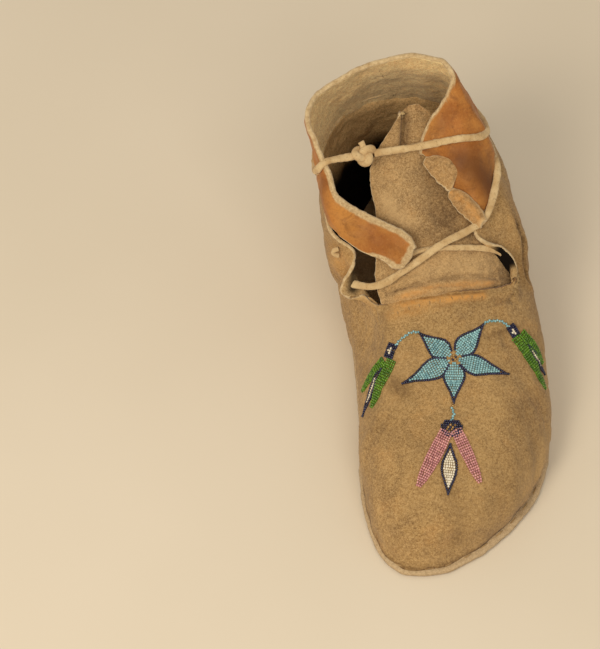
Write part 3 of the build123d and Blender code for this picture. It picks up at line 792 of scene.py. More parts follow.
normals = grid_normals(upper_grid, True)
lift = np.zeros((ROWS, COLUMNS))
add_folds(lift, upper_grid, FOLDS, 1 + 0.6 * fractal(upper_grid, 14, 2, 3))
seam_depth = along_line(upper_grid, SIDE_SEAM)
lift += 0.9 * bell(seam_depth - 1.6, 1.6) - 1.5 * bell(seam_depth, 0.8)
lift += 1.2 * fractal(upper_grid, 30, 3, 1) + 0.6 * fractal(upper_grid, 8, 4, 2)
calm = ramp(rise, 0.0, 0.1)[:, None]
lift *= calm * (1 - 0.6 * ramp(rise, 0.94, 1.0)[:, None])
gather = np.sin(2 * math.pi * np.arange(COLUMNS) / COLUMNS * GATHERS)
height_above = upper_grid[..., 2] - SOLE_TOP
lift += 0.45 * gather[None, :] * bell(height_above - 3, 3.2)
upper_grid = upper_grid + normals * lift[..., None]
x, y, z = np.moveaxis(upper_grid, -1, 0)
# Painted shade in the gap at the right slit, where the tongue goes under the upper's edge
right_slit_shade = ramp(x, 24, 31) * (0.4 + 0.6 * ramp(y, 6.5, 9)) * (1 - ramp(y, 20, 32))
upper_paint = {
    "worn": painted(upper_grid, WORN),
    # Stains with painted shade, and darker along the foot of the upper where it meets the sole and in the
    # side seam's groove
    "stain_and_shade": np.maximum.reduce([
        painted(upper_grid, STAINS_AND_SHADE), bell(height_above, 1.5), 0.9 * bell(seam_depth, 1.3)
    ]),
    "pale": painted(upper_grid, PALE),
    # painted shade inside the shoe: darker towards the bottom, and in the gaps at the right slit and the left
    # lip
    "painted_shade": np.maximum.reduce([1 - ramp(z, 42, 60), right_slit_shade, painted(upper_grid, LEFT_LIP_SHADE)]),
    "dull": (1 - ramp(y, 3, 9)) * ramp(x, -36, -26),
}
ragged_mouth = upper_grid.copy()
fray(ragged_mouth, -1, 0.5 * fractal(upper_grid[-1], 2.2, 3, 8))
upper = leather(
    "suede_upper", ragged_mouth, UPPER_THICK, [SUEDE, UPPER_LINING, EDGE], upper_paint,
    closed=True, roundness=0.7,
)
stand_in(upper, "suede", "upper")
upper_skin = skin_tree(upper_grid, True)

# ---------------------------------------------------------------- sole

# Each ring from the top's middle round the lip to the underside: share of the way in, inset, height
SOLE_ROWS = [
    (0.86, 0.5, 3.4), (0.2, 1.2, 3.5), (0, 2.0, 3.55), (0, 0.8, 3.6), (0, 0.1, 3.0), (0, -0.25, 1.9),
    (0, 0.1, 0.8), (0, 1.0, 0.15), (0.2, 1.5, 0), (0.6, 1.5, 0), (0.98, 1.5, 0),
]
SOLE_COLS = 300
rim = even(smooth_path(SOLE_OUTLINE, OUTLINE_POINTS, True), SOLE_COLS, True)
rim_inward = inward(rim)
rim_flat = np.column_stack([rim, np.zeros(SOLE_COLS)])
middle_x = np.interp(rim[:, 1], (-122, -60, 0, 120), (-22, -2, 2, 0))
middle = np.column_stack([middle_x, np.clip(rim[:, 1], -96, 96)])
wobble, waves = fractal(rim_flat, 9, 3, 4), fractal(rim_flat, 3, 2, 6)
sole_grid = []
for share_in, inset, z in SOLE_ROWS:
    edge = rim + rim_inward * (inset + (0.5 * wobble + 0.18 * waves)[:, None] * (share_in == 0))
    ring_xy = edge + (middle - edge) * share_in
    lift_z = 0.35 * wobble * (z > 1) * (share_in < 0.5)
    sole_grid.append(np.column_stack([ring_xy, np.full(SOLE_COLS, z) + lift_z]))
sole_points = np.array(sole_grid[::-1]).reshape(-1, 3)
sole_z = sole_points[:, 2]
sole_paint = {
    "worn": np.zeros(len(sole_points)), "pale": 0.5 * bell(sole_z - SOLE_TOP, 0.8),
    "stain_and_shade": np.where(sole_z < 1.0, 0.55, 0.0),
}
sole_faces = table_faces(np.arange(len(sole_points)).reshape(-1, SOLE_COLS), wrap=True)
sole = make_mesh("hide_sole", sole_points, sole_faces, [SOLE], paint=sole_paint)
stand_in(sole, "sole_hide", "sole")

# ---------------------------------------------------------------- cuff

# Each station: lower edge, middle and upper edge of the leather's outer face
CUFF_LEFT = [
    ((-17.4, 6.2, 77), (-14.2, 9, 80), (-12.2, 12.4, 83)),
    ((-19.4, 6, 76.6), (-15.2, 10, 80.8), (-12.2, 14.4, 84.2)),
    ((-23, 7.2, 76.6), (-18.2, 11.6, 81.6), (-14, 16.6, 85.8)),
    ((-27.8, 11.5, 77.8), (-23.8, 15.6, 82.8), (-19.4, 21, 88)),
    ((-38.8, 19.3, 78), (-35.8, 22.8, 84), (-31, 27.6, 90.8)),
    ((-47, 27, 80), (-46.4, 29.4, 87), (-42.2, 33.6, 95)),
    ((-50, 34, 80.5), (-50.6, 35.6, 89), (-47.4, 39.6, 99)),
    ((-51.5, 41, 81.5), (-52.2, 43, 92.4), (-49.4, 46.4, 104.2)),
    ((-51.4, 50, 83.5), (-53, 52, 96), (-52.4, 54.2, 110)),
    ((-50.6, 62, 84), (-54.4, 64, 102), (-56.4, 65, 118.6)),
    ((-48.8, 76, 84.5), (-52.6, 76, 103), (-55, 75, 122)),
    ((-39, 95, 85), (-43.4, 90, 106), (-47.2, 83, 123.6)),
    ((-23, 104.8, 85), (-27.6, 97, 108), (-33.6, 88, 127.8)),
    ((-6, 107.6, 85), (-12.6, 99.4, 109), (-19.3, 90.5, 132.4)),
]
CUFF_RIGHT = [
    ((-6, 107.6, 85), (-12.6, 99.4, 109), (-19.3, 90.5, 132.4)),
    ((12, 104, 85), (4, 97.5, 110), (-4, 89.5, 136)),
    ((26, 95.5, 85), (17.5, 91, 110), (9.4, 85, 136.4)),
    ((34, 79.5, 86), (26, 80, 110), (14.8, 79.4, 136.4)),
    ((35.5, 66, 86), (28.4, 68.5, 110), (16.2, 74.4, 135.4)),
    ((34.5, 51, 86), (31.4, 57.5, 103.4), (14.6, 70.6, 131)),
    ((32.6, 41, 85.5), (27, 51.5, 103), (10.8, 68.2, 123.4)),
    ((28.5, 33, 84.5), (21.5, 47.4, 101.5), (7.4, 66, 118)),
    ((23.4, 28, 84.6), (15, 46, 101.6), (3.5, 64, 113.5)),
    ((14.4, 35.4, 89.6), (8, 50.4, 102.8), (0.2, 60.6, 108.4)),
    ((7, 44.4, 96.8), (2.6, 51.6, 102.4), (-1.6, 56.4, 105)),
    ((0.6, 51, 101.2), (-0.8, 52.6, 102.4), (-2.2, 53.8, 103.2)),
]
CUFF_THICK = 2.5
CUFF_ROWS, HALF_COLS = 64, 190
CUFF_STEPS = 40                         # steps of the fine rails from each station to the next


def between_rails(low, middle, high, rows):
    """A grid whose columns are parabolas from the low rail through the middle one to the high one."""
    v = np.linspace(0, 1, rows)[:, None, None]
    return low * (1 - v) * (1 - 2 * v) + 4 * middle * v * (1 - v) + high * v * (2 * v - 1)


def whole_cuff():
    """Both halves as one grid, so that the leather runs on over the back."""
    stations = CUFF_LEFT + CUFF_RIGHT[1:]
    rails = [smooth_path([s[k] for s in stations], CUFF_STEPS * (len(stations) - 1) + 1) for k in (0, 1, 2)]
    along = np.concatenate([[0], np.cumsum(sum(steps_of(r) for r in rails) / 3)])
    cut_at = along[CUFF_STEPS * (len(CUFF_LEFT) - 1)]
    at = np.concatenate([np.linspace(0, cut_at, HALF_COLS), np.linspace(cut_at, along[-1], HALF_COLS)[1:]])
    return between_rails(*[sample(r, along, at) for r in rails], CUFF_ROWS)


# Stations run clockwise seen from above, so the columns are turned round to face outwards
cuff_grid = whole_cuff()[:, ::-1]
cuff_cut = cuff_grid.shape[1] - HALF_COLS
hold = np.zeros(cuff_grid.shape[:2])
hold[0] = hold[-1] = 1
hold[:, 0] = hold[:, -1] = 1
cuff_grid = relax(cuff_grid, 6, False, hold)
cuff_normals = grid_normals(cuff_grid, False)
ripple = 1.0 * fractal(cuff_grid, 24, 3, 11) + 0.35 * fractal(cuff_grid, 7, 3, 12)
CUFF_FOLDS = [
    ([(-50, 28, 78), (-47, 31, 90)], 3.5, -0.9), ([(-34, 18, 79), (-28, 25, 88)], 5, 0.7),
    ([(26, 34, 88), (20, 52, 104), (16, 66, 122)], 4, 0.9),
    ([(34, 44, 88), (29, 56, 104), (21, 68, 122)], 5, -0.8),
    ([(-20, 100, 90), (-24, 92, 120)], 8, 1.2), ([(10, 100, 92), (2, 92, 120)], 7, -1.0),
    ([(-52, 70, 90), (-56, 70, 112)], 6, 0.9),
]
add_folds(ripple, cuff_grid, CUFF_FOLDS)
cuff_grid = cuff_grid + cuff_normals * ripple[..., None]
fray(cuff_grid, -1, 0.5 * fractal(cuff_grid[-1], 9, 3, 14))
CUFF_STAINS = [
    ([(18, 48, 100), (24, 44, 96), (30, 40, 90)], 9, 0.95), ([(8, 62, 112), (14, 66, 118)], 4, 0.45),
    ([(-50, 40, 84), (-51, 46, 98)], 5, 0.45), ([(-22, 13, 82), (-36, 24, 84)], 9, 0.3),
    ([(-6, 100, 92), (10, 98, 96), (-22, 98, 96)], 14, 0.35), ([(0, 54, 104), (6, 52, 102)], 2.5, 0.5),
]
# Rubbed bare along the cut: width of the band at each share of the cuff's length, right corner to left tip
EDGE_BAND = ((0, 0.12, 0.3, 0.42, 0.55, 0.7, 0.8, 1.0), (0.7, 0.8, 1.7, 0.4, 0.2, 0.6, 2.4, 2.7))


def edge_paint():
    """1 on the bare band under the cuff's upper edge and round its left tip, 0 inside it."""
    share = np.linspace(0, 1, cuff_grid.shape[1])
    band = np.interp(share, *EDGE_BAND)[None, :] * (1 + 0.25 * fractal(cuff_grid, 3, 3, 17))
    up = np.linalg.norm(np.diff(cuff_grid, axis=0, append=cuff_grid[-1:]), axis=-1)
    from_top = np.cumsum(up[::-1], axis=0)[::-1]
    from_tip = np.linalg.norm(cuff_grid - cuff_grid[:, -1:], axis=-1) - 0.4
    from_low = np.cumsum(up, axis=0) + 6 * (1 - ramp(share, 0.86, 0.97))
    depth = np.minimum(np.minimum(from_top, from_tip), from_low)
    return 1 - ramp(depth / band, 0.7, 1.1)


cuff_paint = {
    "stain_and_shade": painted(cuff_grid, CUFF_STAINS), "pale": edge_paint(),
    "worn": 0.35 * np.clip(fractal(cuff_grid, 16, 2, 15), 0, 1),
}


def cuff_half(name, columns, open_side):
    """The cuff's leather over some of the grid's columns."""
    paint = {k: v[:, columns] for k, v in cuff_paint.items()}
    layers = [ORANGE, LINING, EDGE]
    return leather(name, cuff_grid[:, columns], CUFF_THICK, layers, paint, open_side=open_side)


right_half = cuff_half("cuff_right", slice(0, cuff_cut + 1), "last")
stand_in(right_half, "cuff_leather", "cuff", "cuff_flap_right")
left_half = cuff_half("cuff_left", slice(cuff_cut, None), "first")
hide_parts("cuff_flap_left")
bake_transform(left_half)

# The turned-out corner at the right flap's lower front, and the roll of the flap's edge below it
CORNER_PATCH = [
    ((-1.6, 49.4, 100.2), (-0.8, 50.4, 101.6), (0, 51.2, 102.2)),
    ((0.8, 45.2, 98), (2.8, 48, 102.4), (4.4, 51, 103)),
    ((4, 41, 95.8), (7, 45.8, 101.8), (9.4, 50.4, 102.4)),
    ((7.4, 38.2, 94.2), (10.4, 43.4, 100), (13.6, 48.4, 101.2)),
    ((9.4, 37, 93), (12.4, 41, 97.2), (15, 44.6, 98.8)),
    ((10.2, 37, 92.8), (12.2, 39.6, 95.4), (13.6, 41.4, 96.6)),
]
CORNER_ROLL = [
    ((8.4, 34.4, 91), (9.4, 35.8, 92.8), (11.4, 37.2, 93.2)),
    ((10.6, 30.6, 88.8), (12.6, 33.6, 93), (16.2, 35.6, 92.6)),
    ((14.2, 26.4, 86.4), (16.8, 29.8, 91), (20.6, 31.6, 90)),
    ((18.4, 22.6, 83.8), (20.6, 25.4, 88), (23.8, 27, 87.2)),
    ((21.8, 20.2, 82), (23.2, 21.6, 84.8), (25.4, 22.8, 84.6)),
]
RAIL_STEPS = 60                         # steps of a patch's fine rails for each station


def patch(name, body, stations, cols, rows, thickness, rubbed, seed, *nodes):
    """A small piece of turned-back leather with frayed edges. `rubbed` is the wear along its middle."""
    paths = [smooth_path([s[k] for s in stations], RAIL_STEPS * len(stations)) for k in (0, 1, 2)]
    g = between_rails(*[even(path, cols) for path in paths], rows)
    g = g + grid_normals(g, False) * (0.5 * fractal(g, 6, 3, seed))[..., None]
    fray(g, 0, 0.5 * fractal(g[0], 2.2, 3, seed + 1))
    fray(g, -1, 0.4 * fractal(g[-1], 2.4, 3, seed + 2))
    spots = np.clip(fractal(g, 2.2, 3, seed + 3) * 1.4, 0, 1)
    v, u = np.meshgrid(np.linspace(0, 1, rows), np.linspace(0, 1, cols), indexing="ij")
    paint = {
        "stain_and_shade": spots * 0.5, "pale": np.maximum(ramp(v, 0.8, 0.97), ramp(u, 0.86, 1.0)) * 0.95,
        "worn": 0.2 + rubbed * bell(v - 0.45, 0.25),
    }
    obj = leather(name, g, thickness, [TONGUE, ORANGE, EDGE], paint)
    return stand_in(obj, "cuff_leather", *nodes, body=body)


patch("cuff_corner_fold", "right_corner", CORNER_PATCH, 40, 26, 2.4, 0, 21, "cuff_corner")
# The roll stays with the root body, because it would cut into the cuff if it lifted with the corner
patch("cuff_corner_roll", "root", CORNER_ROLL, 44, 20, 2.2, 0.7, 31)

# The thong's turn goes on over the cuff, and lies flat against it out of sight of its front
cuff_skin = skin_tree(cuff_grid, False)
turn = np.array(THONG_TURN, float)
for i in range(*HUGGING.indices(len(turn))):
    place, facing, _, _ = cuff_skin.find_nearest(Vector(turn[i] * MM))
    turn[i] = np.array(place) / MM + np.array(facing) * 0.5
thong("ankle_thong", spline_points(turn), 3.6, 2.4, 1, "thong_ankle_turn")
thong("crossing_thong", spline_points(THONG_CROSSING), 3.7, 2.3, 2, "thong_crossing_strand")
thong("inner_thong", spline_points(THONG_INNER), 2.9, 1.9, 3, "thong_inner_strand")
thong("slit_thong", spline_points(THONG_SLIT), 2.3, 1.9, 4, "thong_slit_loop")

# The overhand knot is a trefoil, open where the strand's two ends leave it
KNOT_CENTRE = np.array((-30.2, 53.6, 106.4))
KNOT_SIZE, KNOT_STEPS, KNOT_GAP, KNOT_LAP = 2.3, 90, 12, 3
TAIL = [(-30, 54.4, 107.6), (-30.6, 56.4, 110.2), (-31.4, 57.8, 111.6)]
knot_turns = np.array([
    (
        (math.sin(t) + 2 * math.sin(2 * t)) * 1.12,
        (math.cos(t) - 2 * math.cos(2 * t)) * 0.92,
        -math.sin(3 * t) * 0.8,
    )
    for t in np.linspace(0, 2 * math.pi, KNOT_STEPS, endpoint=False)
])
knot_right = np.array((0.99, 0.05, 0.02))
knot_out = unit(np.array((-0.1, -0.62, 0.78)))
knot_up = np.cross(knot_out, knot_right)
knot_path = KNOT_CENTRE + KNOT_SIZE * 0.62 * (
    knot_turns[:, :1] * knot_right + knot_turns[:, 1:2] * knot_up + knot_turns[:, 2:] * knot_out * 1.5
)
knot_path = np.vstack([knot_path[KNOT_GAP:], knot_path[:KNOT_LAP]])
thong("thong_overhand_knot", knot_path, 4.0, 3.3, 6, "thong_knot", pitch=0.4)
thong("thong_tail", smooth_path(TAIL, 12), 3.2, 2.4, 8)

# ---------------------------------------------------------------- tongue

# Each row: distance along the tongue from its root, left and right edge, and drop of each edge
TONGUE_ROOT = np.array((2, -2.6, 66.4))
TONGUE_ROWS = [
    (-8, -27, 36, 10, 14), (0, -29.4, 39.5, 10.2, 17), (5, -30, 38.4, 9.4, 16.4),
    (10, -30.4, 36.6, 8.4, 13.6),
    (16, -29.6, 35.4, 7, 11), (23, -28.6, 35.5, 5.8, 9.2), (32, -27.4, 31, 4.6, 6), (43, -26.6, 26, 3.8, 4.4),
    (58, -27.6, 19, 3.4, 3.2), (68, -24.6, 15, 3, 2.4), (75, -19.4, 12, 2.4, 1.8), (81, -14.6, 8.8, 2, 1.4),
    (87, -9.8, 5.4, 1, 0.8), (90, -6.6, 2.2, 0.6, 0.4), (91.6, -4.2, 0.2, 0.4, 0.2),
]
TONGUE_COLS, TONGUE_RIBS = 110, 150
TONGUE_THICK = 1.9
TONGUE_SLOPE = math.radians(30)
TONGUE_TOP = 92                         # the tongue's length, which `v` is a share of

ribs = smooth_path(TONGUE_ROWS, TONGUE_RIBS)
uphill = np.array((0, math.cos(TONGUE_SLOPE), math.sin(TONGUE_SLOPE)))
over = np.cross((1, 0, 0), uphill)
tongue_grid = np.zeros((TONGUE_RIBS, TONGUE_COLS, 3))
t = np.linspace(-1, 1, TONGUE_COLS)
for r, (along, left, right, drop_left, drop_right) in enumerate(ribs):
    x = np.linspace(left, right, TONGUE_COLS)
    drop = np.where(t < 0, drop_left * t * t, drop_right * t * t)
    _, y, z = TONGUE_ROOT + uphill * along
    tongue_grid[r] = np.stack([x, np.full_like(x, y), np.full_like(x, z)], 1) - drop[:, None] * over
u = np.linspace(0, 1, TONGUE_COLS)[None, :]
along = ribs[:, :1]
v = along / TONGUE_TOP
# The pleat at the top: the skin left of its line stands up, and dips to the right of it
slit_side = tongue_grid[..., 0] + 11.4 - 0.16 * (along - 73)
pleat = ramp(v, 0.7, 0.88)
bulge = pleat * (1.8 * (1 - ramp(slit_side, -0.5, 0.7)) + 1.2 * bell(slit_side + 2, 2))
bulge = bulge - pleat * 3.0 * bell(slit_side - 1.2, 3.4) * (slit_side > 0)
# A swelling, a hollow and a crease across the middle
bulge = bulge + 1.3 * np.exp(-(((u - 0.3) / 0.16) ** 2 + ((v - 0.5) / 0.16) ** 2))
bulge = bulge - 1.2 * np.exp(-(((u - 0.62) / 0.16) ** 2 + ((v - 0.42) / 0.2) ** 2))
bulge = bulge - 0.8 * bell(v - 0.3 - 0.06 * (u - 0.5), 0.035) * ramp(u, 0.0, 0.5)
tongue_grid += over * bulge[..., None]
# Puckers where the tongue is sewn to the vamp: place along it, half width, height
for place, width, height in ((1.2, 1.5, 1.2), (4.4, 1.3, -1.0), (8.6, 2.0, 0.5)):
    line = place + 1.4 * np.sin(u * 7 + place)
    tongue_grid += over * (height * bell(along - line, width))[..., None]
tongue_normals = grid_normals(tongue_grid, False)
ripple = 1.1 * fractal(tongue_grid, 20, 3, 41) + 0.35 * fractal(tongue_grid, 6, 3, 42)
tongue_grid += tongue_normals * ripple[..., None]
tongue_grid -= over * (5.5 * (1 - ramp(along, -8, 0.5)))[..., None]
edge_fray = 0.45 * fractal(tongue_grid, 2.6, 3, 43) * (1 - ramp(v, 0.8, 0.92))
fray(tongue_grid.swapaxes(0, 1), 0, edge_fray[:, 0])
fray(tongue_grid.swapaxes(0, 1), -1, edge_fray[:, -1])
fray(tongue_grid, -1, edge_fray[-1])
TONGUE_WORN = [([(-26, -2, 60), (-8, -1, 66), (14, -1, 66), (34, 1, 60)], 1.8, 0.95)]
TONGUE_STAINS_AND_SHADE = [
    # Partly dirt, partly painted shade where the tongue runs under the upper's edge
    ([(-27, 2, 61), (-8, 2.4, 68), (14, 3, 68), (34, 4, 61)], 1.0, 0.7),
    ([(4, 46, 95), (5, 36, 89), (6, 27, 83)], 8, 0.7), ([(-4, 22, 79), (10, 20, 78)], 5, 0.3),
    # Painted shadow cast by the pleat's raised flap on the skin right of it
    ([(-7.4, 72, 110), (-9.6, 61, 103)], 2.6, 0.95),
    ([(-22, 30, 82), (-6, 22, 78), (12, 22, 79)], 4, 0.35), ([(20, 26, 80), (26, 18, 76)], 7, 0.4),
]
TONGUE_PALE = [
    ([(-22, 39, 89), (-18, 32, 85), (-12, 28, 83)], 4, 0.75),
    ([(-10, 8, 70), (10, 8, 72), (24, 8, 68)], 7, 0.4),
]
marks = {"stain_and_shade": TONGUE_STAINS_AND_SHADE, "pale": TONGUE_PALE, "worn": TONGUE_WORN}
tongue_paint = {mark: painted(tongue_grid, lines) for mark, lines in marks.items()}
tongue = leather(
    "suede_tongue", tongue_grid, TONGUE_THICK, [TONGUE, LINING, EDGE], tongue_paint, roundness=0.6
)
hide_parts("tongue")
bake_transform(tongue)

# ---------------------------------------------------------------- beadwork

BEAD_WIDE, BEAD_LONG = 1.22, 0.98       # a seed bead's diameter, and its length along its thread
BEAD_RINGS, BEAD_SIDES = 7, 12
PITCH = 1.02                            # from one bead to the next along a thread
ROW_PITCH = 1.22                        # from one thread of beads to the next
OUTLINE_INSET = 0.5                     # how far in from a leaf's edge its outline of beads is sewn


def bead_shape():
    """One seed bead about the Z axis: a fat ring with a thread hole."""
    verts = []
    outer, hole = BEAD_WIDE / 2, BEAD_WIDE * 0.17
    middle, half = (outer + hole) / 2, (outer - hole) / 2
    for i in range(BEAD_RINGS):
        a = 2 * math.pi * i / BEAD_RINGS
        radius, z = middle + half * math.cos(a), BEAD_LONG / 2 * math.sin(a)
        for j in range(BEAD_SIDES):
            b = 2 * math.pi * j / BEAD_SIDES
            verts.append((radius * math.cos(b), radius * math.sin(b), z))
    table = np.arange(len(verts)).reshape(BEAD_RINGS, BEAD_SIDES)
    return np.array(verts), np.array(table_faces(np.vstack([table, table[:1]]), wrap=True))


BEAD_VERTS, BEAD_FACES = bead_shape()


def skin_at(point, normal):
    """The upper's skin under a point, looking along -normal: its place, and the way it faces."""
    start = Vector((np.array(point) + np.array(normal) * 25) * MM)
    hit, facing, _, _ = upper_skin.ray_cast(start, -Vector(normal), 0.06)
    if hit is None:
        hit, facing, _, _ = upper_skin.find_nearest(Vector(np.array(point) * MM))
    facing = np.array(facing)
    if facing @ np.array(normal) < 0:
        facing = -facing
    return np.array(hit) / MM, facing


def plan_point(x, y, z=None):
    """The skin under a place given in plan, or nearest to one given in full where the skin is steep."""
    if z is None:
        return skin_at((x, y, 60), (0, 0, 1))
    place, facing, _, _ = upper_skin.find_nearest(Vector((x, y, z)) * MM)
    return np.array(place) / MM, np.array(facing)


def add_bead(beads, at, facing, axis, kind=0):
    """Stands one bead on the skin with its thread along `axis`."""
    axis = unit(axis - facing * (axis @ facing))
    side = np.cross(facing, axis)
    lean = random.uniform(-0.1, 0.1)
    axis, side = axis * math.cos(lean) + side * math.sin(lean), side * math.cos(lean) - axis * math.sin(lean)
    size = random.uniform(0.93, 1.06)
    place = at + facing * (BEAD_WIDE * 0.36 + random.uniform(-0.08, 0.06))
    local = BEAD_VERTS * size
    verts = place + local[:, :1] * side + local[:, 1:2] * facing + local[:, 2:] * axis
    beads.append((verts, kind, random.random()))


def bead_piece(node, beads, *colours, name=None):
    """All the beads of one field as one piece, in place of a CAD node and named after it."""
    verts = np.vstack([b[0] for b in beads])
    faces = np.vstack([BEAD_FACES + i * len(BEAD_VERTS) for i in range(len(beads))])
    kinds = np.repeat([b[1] for b in beads], len(BEAD_FACES))
    tint = np.repeat([b[2] for b in beads], len(BEAD_VERTS))
    materials = [BEADS[c] for c in colours]
    obj = make_mesh(name or node + "_beads", verts, faces, materials, kinds, {"tint": tint})
    return stand_in(obj, colours[0] + "_beads", node)


class Leaf:
    """A leaf of beads between two places on the skin. `wide` gives its half width along it, as shares."""

    def __init__(self, root, tip, width, wide, bend=0.0):
        a, facing_a = plan_point(*root)
        b, facing_b = plan_point(*tip)
        self.root, self.length = a, np.linalg.norm(b - a)
        self.axis = unit(b - a)
        facing = unit(facing_a + facing_b)
        self.facing = unit(facing - self.axis * (facing @ self.axis))
        self.side = np.cross(self.facing, self.axis)
        self.width, self.wide, self.bend = width, wide, bend

    def half(self, u):
        return self.width / 2 * np.interp(u, np.linspace(0, 1, len(self.wide)), self.wide)

    def at(self, u, w):
        """The skin at share u of the length and w millimetres to the side."""
        curve = self.bend * math.sin(math.pi * u)
        return skin_at(self.root + self.axis * u * self.length + self.side * (w + curve), self.facing)

    def rows(self, margin, kind=0, first=0.0, last=1.0):
        """Rows of beads across the leaf, each on its own thread."""
        beads = []
        count = max(2, round(self.length * (last - first) / ROW_PITCH))
        for i in range(count):
            u = first + (last - first) * (i + 0.5) / count
            reach = self.half(u) - margin
            number = int((2 * reach + 0.35) / PITCH)
            if reach < 0.2 or number < 1:
                continue
            for k in range(number):
                at, facing = self.at(u, (k - (number - 1) / 2) * 2 * reach / number)
                add_bead(beads, at, facing, self.side, kind)
        return beads

    def outline(self, inset=OUTLINE_INSET, start=0.0):
        """One row of beads round the leaf's edge."""
        beads = []
        u = np.linspace(start, 1, 120)
        right = np.stack([u, np.maximum(self.half(u) - inset, 0)], 1)
        flat = np.vstack([right, right[-2::-1] * (1, -1)]) * (self.length, 1)
        flat = even(flat, max(6, int(steps_of(flat).sum() / PITCH)))
        for (x, w), (hx, hw) in zip(flat, unit(np.gradient(flat, axis=0))):
            at, facing = self.at(x / self.length, w)
            add_bead(beads, at, facing, self.axis * hx + self.side * hw)
        return beads


KITE = (0.14, 0.6, 0.94, 1.0, 0.84, 0.6, 0.38, 0.2, 0.06)
POINTED = (0.16, 0.64, 0.96, 1.0, 0.8, 0.56, 0.36, 0.18, 0.04)
LONG = (0.9, 0.96, 1.0, 1.0, 1.0, 0.94, 0.84, 0.68, 0.4)
DIAMOND = (0.1, 0.36, 0.66, 0.92, 1.0, 0.9, 0.64, 0.36, 0.1)
SLIM = (0.4, 0.7, 0.9, 1.0, 1.0, 0.9, 0.7, 0.4, 0.2)

PETALS = {
    "upper_left": ((0.4, -32.2), (-13.5, -18.5), 11.2, KITE, 0.6),
    "upper_right": ((2.2, -32), (18.4, -17.9), 11.2, KITE, -0.4),
    "left": ((0, -33.4), (-25.2, -40.2), 11, KITE, 0.8),
    "right": ((2.6, -33.6), (27.4, -41), 11, POINTED, -0.8),
    "lower": ((1.2, -34.4), (-2.2, -54.2), 11.4, KITE, 0.0),
}
for name, (root, tip, width, wide, bend) in PETALS.items():
    shape = Leaf(root, tip, width, wide, bend)
    fill, edge = shape.rows(1.1, first=0.03, last=0.9), shape.outline(start=0.1)
    bead_piece(f"petal_{name}", fill, "blue")
    bead_piece(f"petal_outline_{name}", edge, "navy", name=f"petal_{name}_outline_beads")


def plain_leaves(kind, colour, leaves):
    """Leaves of one colour with no outline, each as one piece."""
    for name, (root, tip, width) in leaves.items():
        bead_piece(f"{kind}_{name}", Leaf(root, tip, width, LONG).rows(0.2), colour)


plain_leaves("green_leaf", "green", {
    "left_outer": ((-31.4, -24.4, 44.2), (-44.6, -29.6, 26.6), 5.6),
    "left_inner": ((-27.8, -26.6, 46.6), (-40.2, -43.6, 31.8), 6.4),
    "right_inner": ((33.4, -22.2, 46.6), (45.6, -42.8, 28.6), 6.4),
    "right_outer": ((36.6, -19.4, 45.4), (46.6, -29, 31), 6.2),
})
SLIM_LEAVES = {
    "left": ((-33.4, -27.6, 41.4), (-43.4, -44, 24.4), 3.6),
    "right": ((39, -24.8, 42), (47.6, -34.6, 29), 3.6),
}
for name, (root, tip, width) in SLIM_LEAVES.items():
    shape = Leaf(root, tip, width, SLIM)
    beads = shape.outline(0.4) + shape.rows(1.1, 1, first=0.1, last=0.85)
    bead_piece(f"slim_leaf_{name}", beads, "navy", "white")

plain_leaves("pink_petal", "pink", {
    "left": ((-7.6, -67), (-25, -90.4), 7.4), "right": ((-3.4, -67), (4.5, -92), 6.4),
})
shape = Leaf((-7, -73.6), (-11.7, -95.6), 8.2, DIAMOND)
fill, edge = shape.rows(1.15, first=0.08, last=0.92), shape.outline()
bead_piece("white_petal", fill, "white")
bead_piece("white_petal_outline", edge, "navy")

STEMS = {
    "left": [(-13.8, -18.3), (-16.6, -17.5), (-19.9, -18), (-23, -19.6), (-25, -20.8)],
    "right": [(18.6, -17.6), (20.9, -16.4), (25.1, -15.8), (28.4, -16.7), (31, -18)],
    "lower": [(-2.4, -54.4), (-3.3, -56.6), (-3, -59.5), (-4.6, -62.4)],
}
STAGGER = 0.2                           # how far a stem's beads stand off its line, to alternate sides
for name, plan in STEMS.items():
    line = np.array([plan_point(x, y)[0] for x, y in smooth_path(plan, 60)])
    line = even(line, int(steps_of(line).sum()))
    beads = []
    for i, (p, heading) in enumerate(zip(line, unit(np.gradient(line, axis=0)))):
        at, facing = plan_point(p[0], p[1])
        across = np.cross(facing, heading) * (STAGGER if i % 2 else -STAGGER)
        gold = name == "lower" and i < 2
        add_bead(beads, at + across, facing, heading, 1 if gold else 0)
    bead_piece(f"stem_{name}", beads, *(["blue", "gold"] if name == "lower" else ["blue"]))

CAPS = {
    "left": ((-25.9, -19.6), (-29.4, -25), 6, 7, 4), "right": ((31.6, -17.4), (34.6, -21.6), 6, 6, 4),
}
INNER = ((2, 2), (3, 2), (3, 1), (4, 2))        # a cap's white beads, by row and place
for name, (root, tip, width, rows, across) in CAPS.items():
    shape = Leaf(root, tip, width, (1, 1))
    beads = []
    for i in range(rows):
        for k in range(across + 1):
            at, facing = shape.at((i + 0.5) / rows, (k - across / 2) * 1.05)
            add_bead(beads, at, facing, shape.side, 1 if (i, k) in INNER else 0)
    bead_piece(f"cap_{name}", beads, "navy", "white")
shape = Leaf((-4.4, -62.2), (-6, -70.4), 11, (0.6, 1.0, 0.9, 0.5))
beads = []
for i in range(8):
    u = (i + 0.5) / 8
    number = max(2, round(2 * shape.half(u) / 1.08))
    for k in range(number):
        w = (k - (number - 1) / 2) * 1.06
        at, facing = shape.at(u, w)
        inner = abs(i - 3.5) < 2.2 and abs(w) < 2.4 and (i + k) % 2 == 0
        add_bead(beads, at, facing, shape.side, 1 if inner else 0)
bead_piece("cap_lower", beads, "navy", "gold")

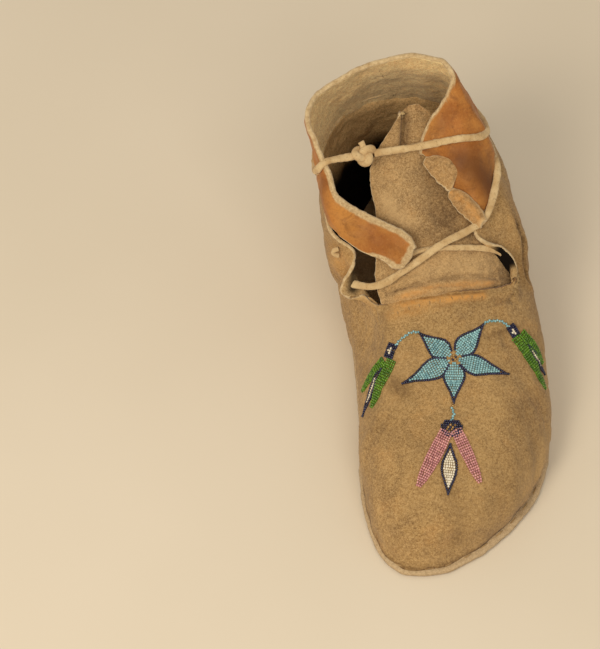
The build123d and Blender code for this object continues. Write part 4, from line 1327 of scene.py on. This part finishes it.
FLOWER_X, FLOWER_Y = 1.2, -33.0
beads = []
for radius, number in ((0, 1), (1.0, 5)):
    for k in range(number):
        a = 2 * math.pi * k / number + 0.3
        at, up = plan_point(FLOWER_X + radius * math.cos(a), FLOWER_Y + radius * math.sin(a))
        heading = np.array((-math.sin(a), math.cos(a), 0.01))
        add_bead(beads, at + up * 0.15, up, heading, 1 if radius and k % 3 == 0 else 0)
bead_piece("flower_centre", beads, "gold", "navy")

# ---------------------------------------------------------------- sinew stitches

STITCH_SIDES, STITCH_RINGS = 8, 7


def stitch_piece(name, node, ends, radius):
    """Short arched stitches, each from one hole to the next."""
    verts, faces = [], []
    for a, b, facing in ends:
        side = np.cross(unit(b - a), facing)
        faces += tube_faces(STITCH_RINGS, STITCH_SIDES, len(verts))
        for i in range(STITCH_RINGS):
            t = i / (STITCH_RINGS - 1)
            at = a + (b - a) * t + facing * (0.4 * math.sin(math.pi * t) - 0.12)
            r = radius * (0.75 + 0.3 * math.sin(math.pi * t))
            for k in range(STITCH_SIDES):
                w = 2 * math.pi * k / STITCH_SIDES
                verts.append(at + side * r * math.cos(w) + facing * r * math.sin(w) * 0.8)
    stand_in(make_mesh(name, np.array(verts), faces, [SINEW]), "sinew", node)


sole_ends = []
for i in range(0, OUTLINE_POINTS, 22):
    j = (i + 10) % OUTLINE_POINTS
    a = outline[i] + outline_inward[i] * 2.1
    b = outline[j] + outline_inward[j] * (2.5 + random.uniform(-0.3, 0.3))
    a, b = np.array((*a, SOLE_TOP + 0.5)), np.array((*b, SOLE_TOP + 0.6))
    sole_ends.append((a, b, unit(np.array((*-outline_inward[i] * 0.4, 1.0)))))
stitch_piece("sole_stitching", "sole_stitches", sole_ends, 0.3)

heel_ends = []
for z in np.arange(12, 82, 5.5):
    y = np.interp(z, (12, 30, 60, 84), (121, 118, 115, 108))
    a, up_a = skin_at((-4.9, y, z), (0, 1, 0))
    b, up_b = skin_at((-1.2, y, z + 1.2), (0, 1, 0))
    heel_ends.append((a, b, unit(up_a + up_b)))
stitch_piece("heel_stitching", "heel_stitches", heel_ends, 0.42)

front_ends = []
for x in np.arange(-22, 32, 5.2):
    a, up_a = plan_point(x, -5.8)
    b, up_b = plan_point(x + random.uniform(-0.8, 0.8), -7.4)
    front_ends.append((a, b, unit(up_a + up_b)))
stitch_piece("tongue_stitching", "tongue_stitches", front_ends, 0.24)

# The cuff's seam is sewn only round the back, where its lower edge is low
SEAM_HIGH, SEAM_FRONT = 87, 58
seam_ends = []
for i in range(60, cuff_grid.shape[1] - 30, 7):
    p = cuff_grid[0, i]
    if p[2] > SEAM_HIGH or p[1] < SEAM_FRONT:
        continue
    outwards = unit(cuff_normals[0, i])
    a, b = p + outwards * 0.2 + (0, 0, 1.6), p + outwards * 0.5 + (0, 0, -1.2)
    seam_ends.append((a, b, outwards))
stitch_piece("cuff_stitching", "cuff_stitches", seam_ends, 0.36)
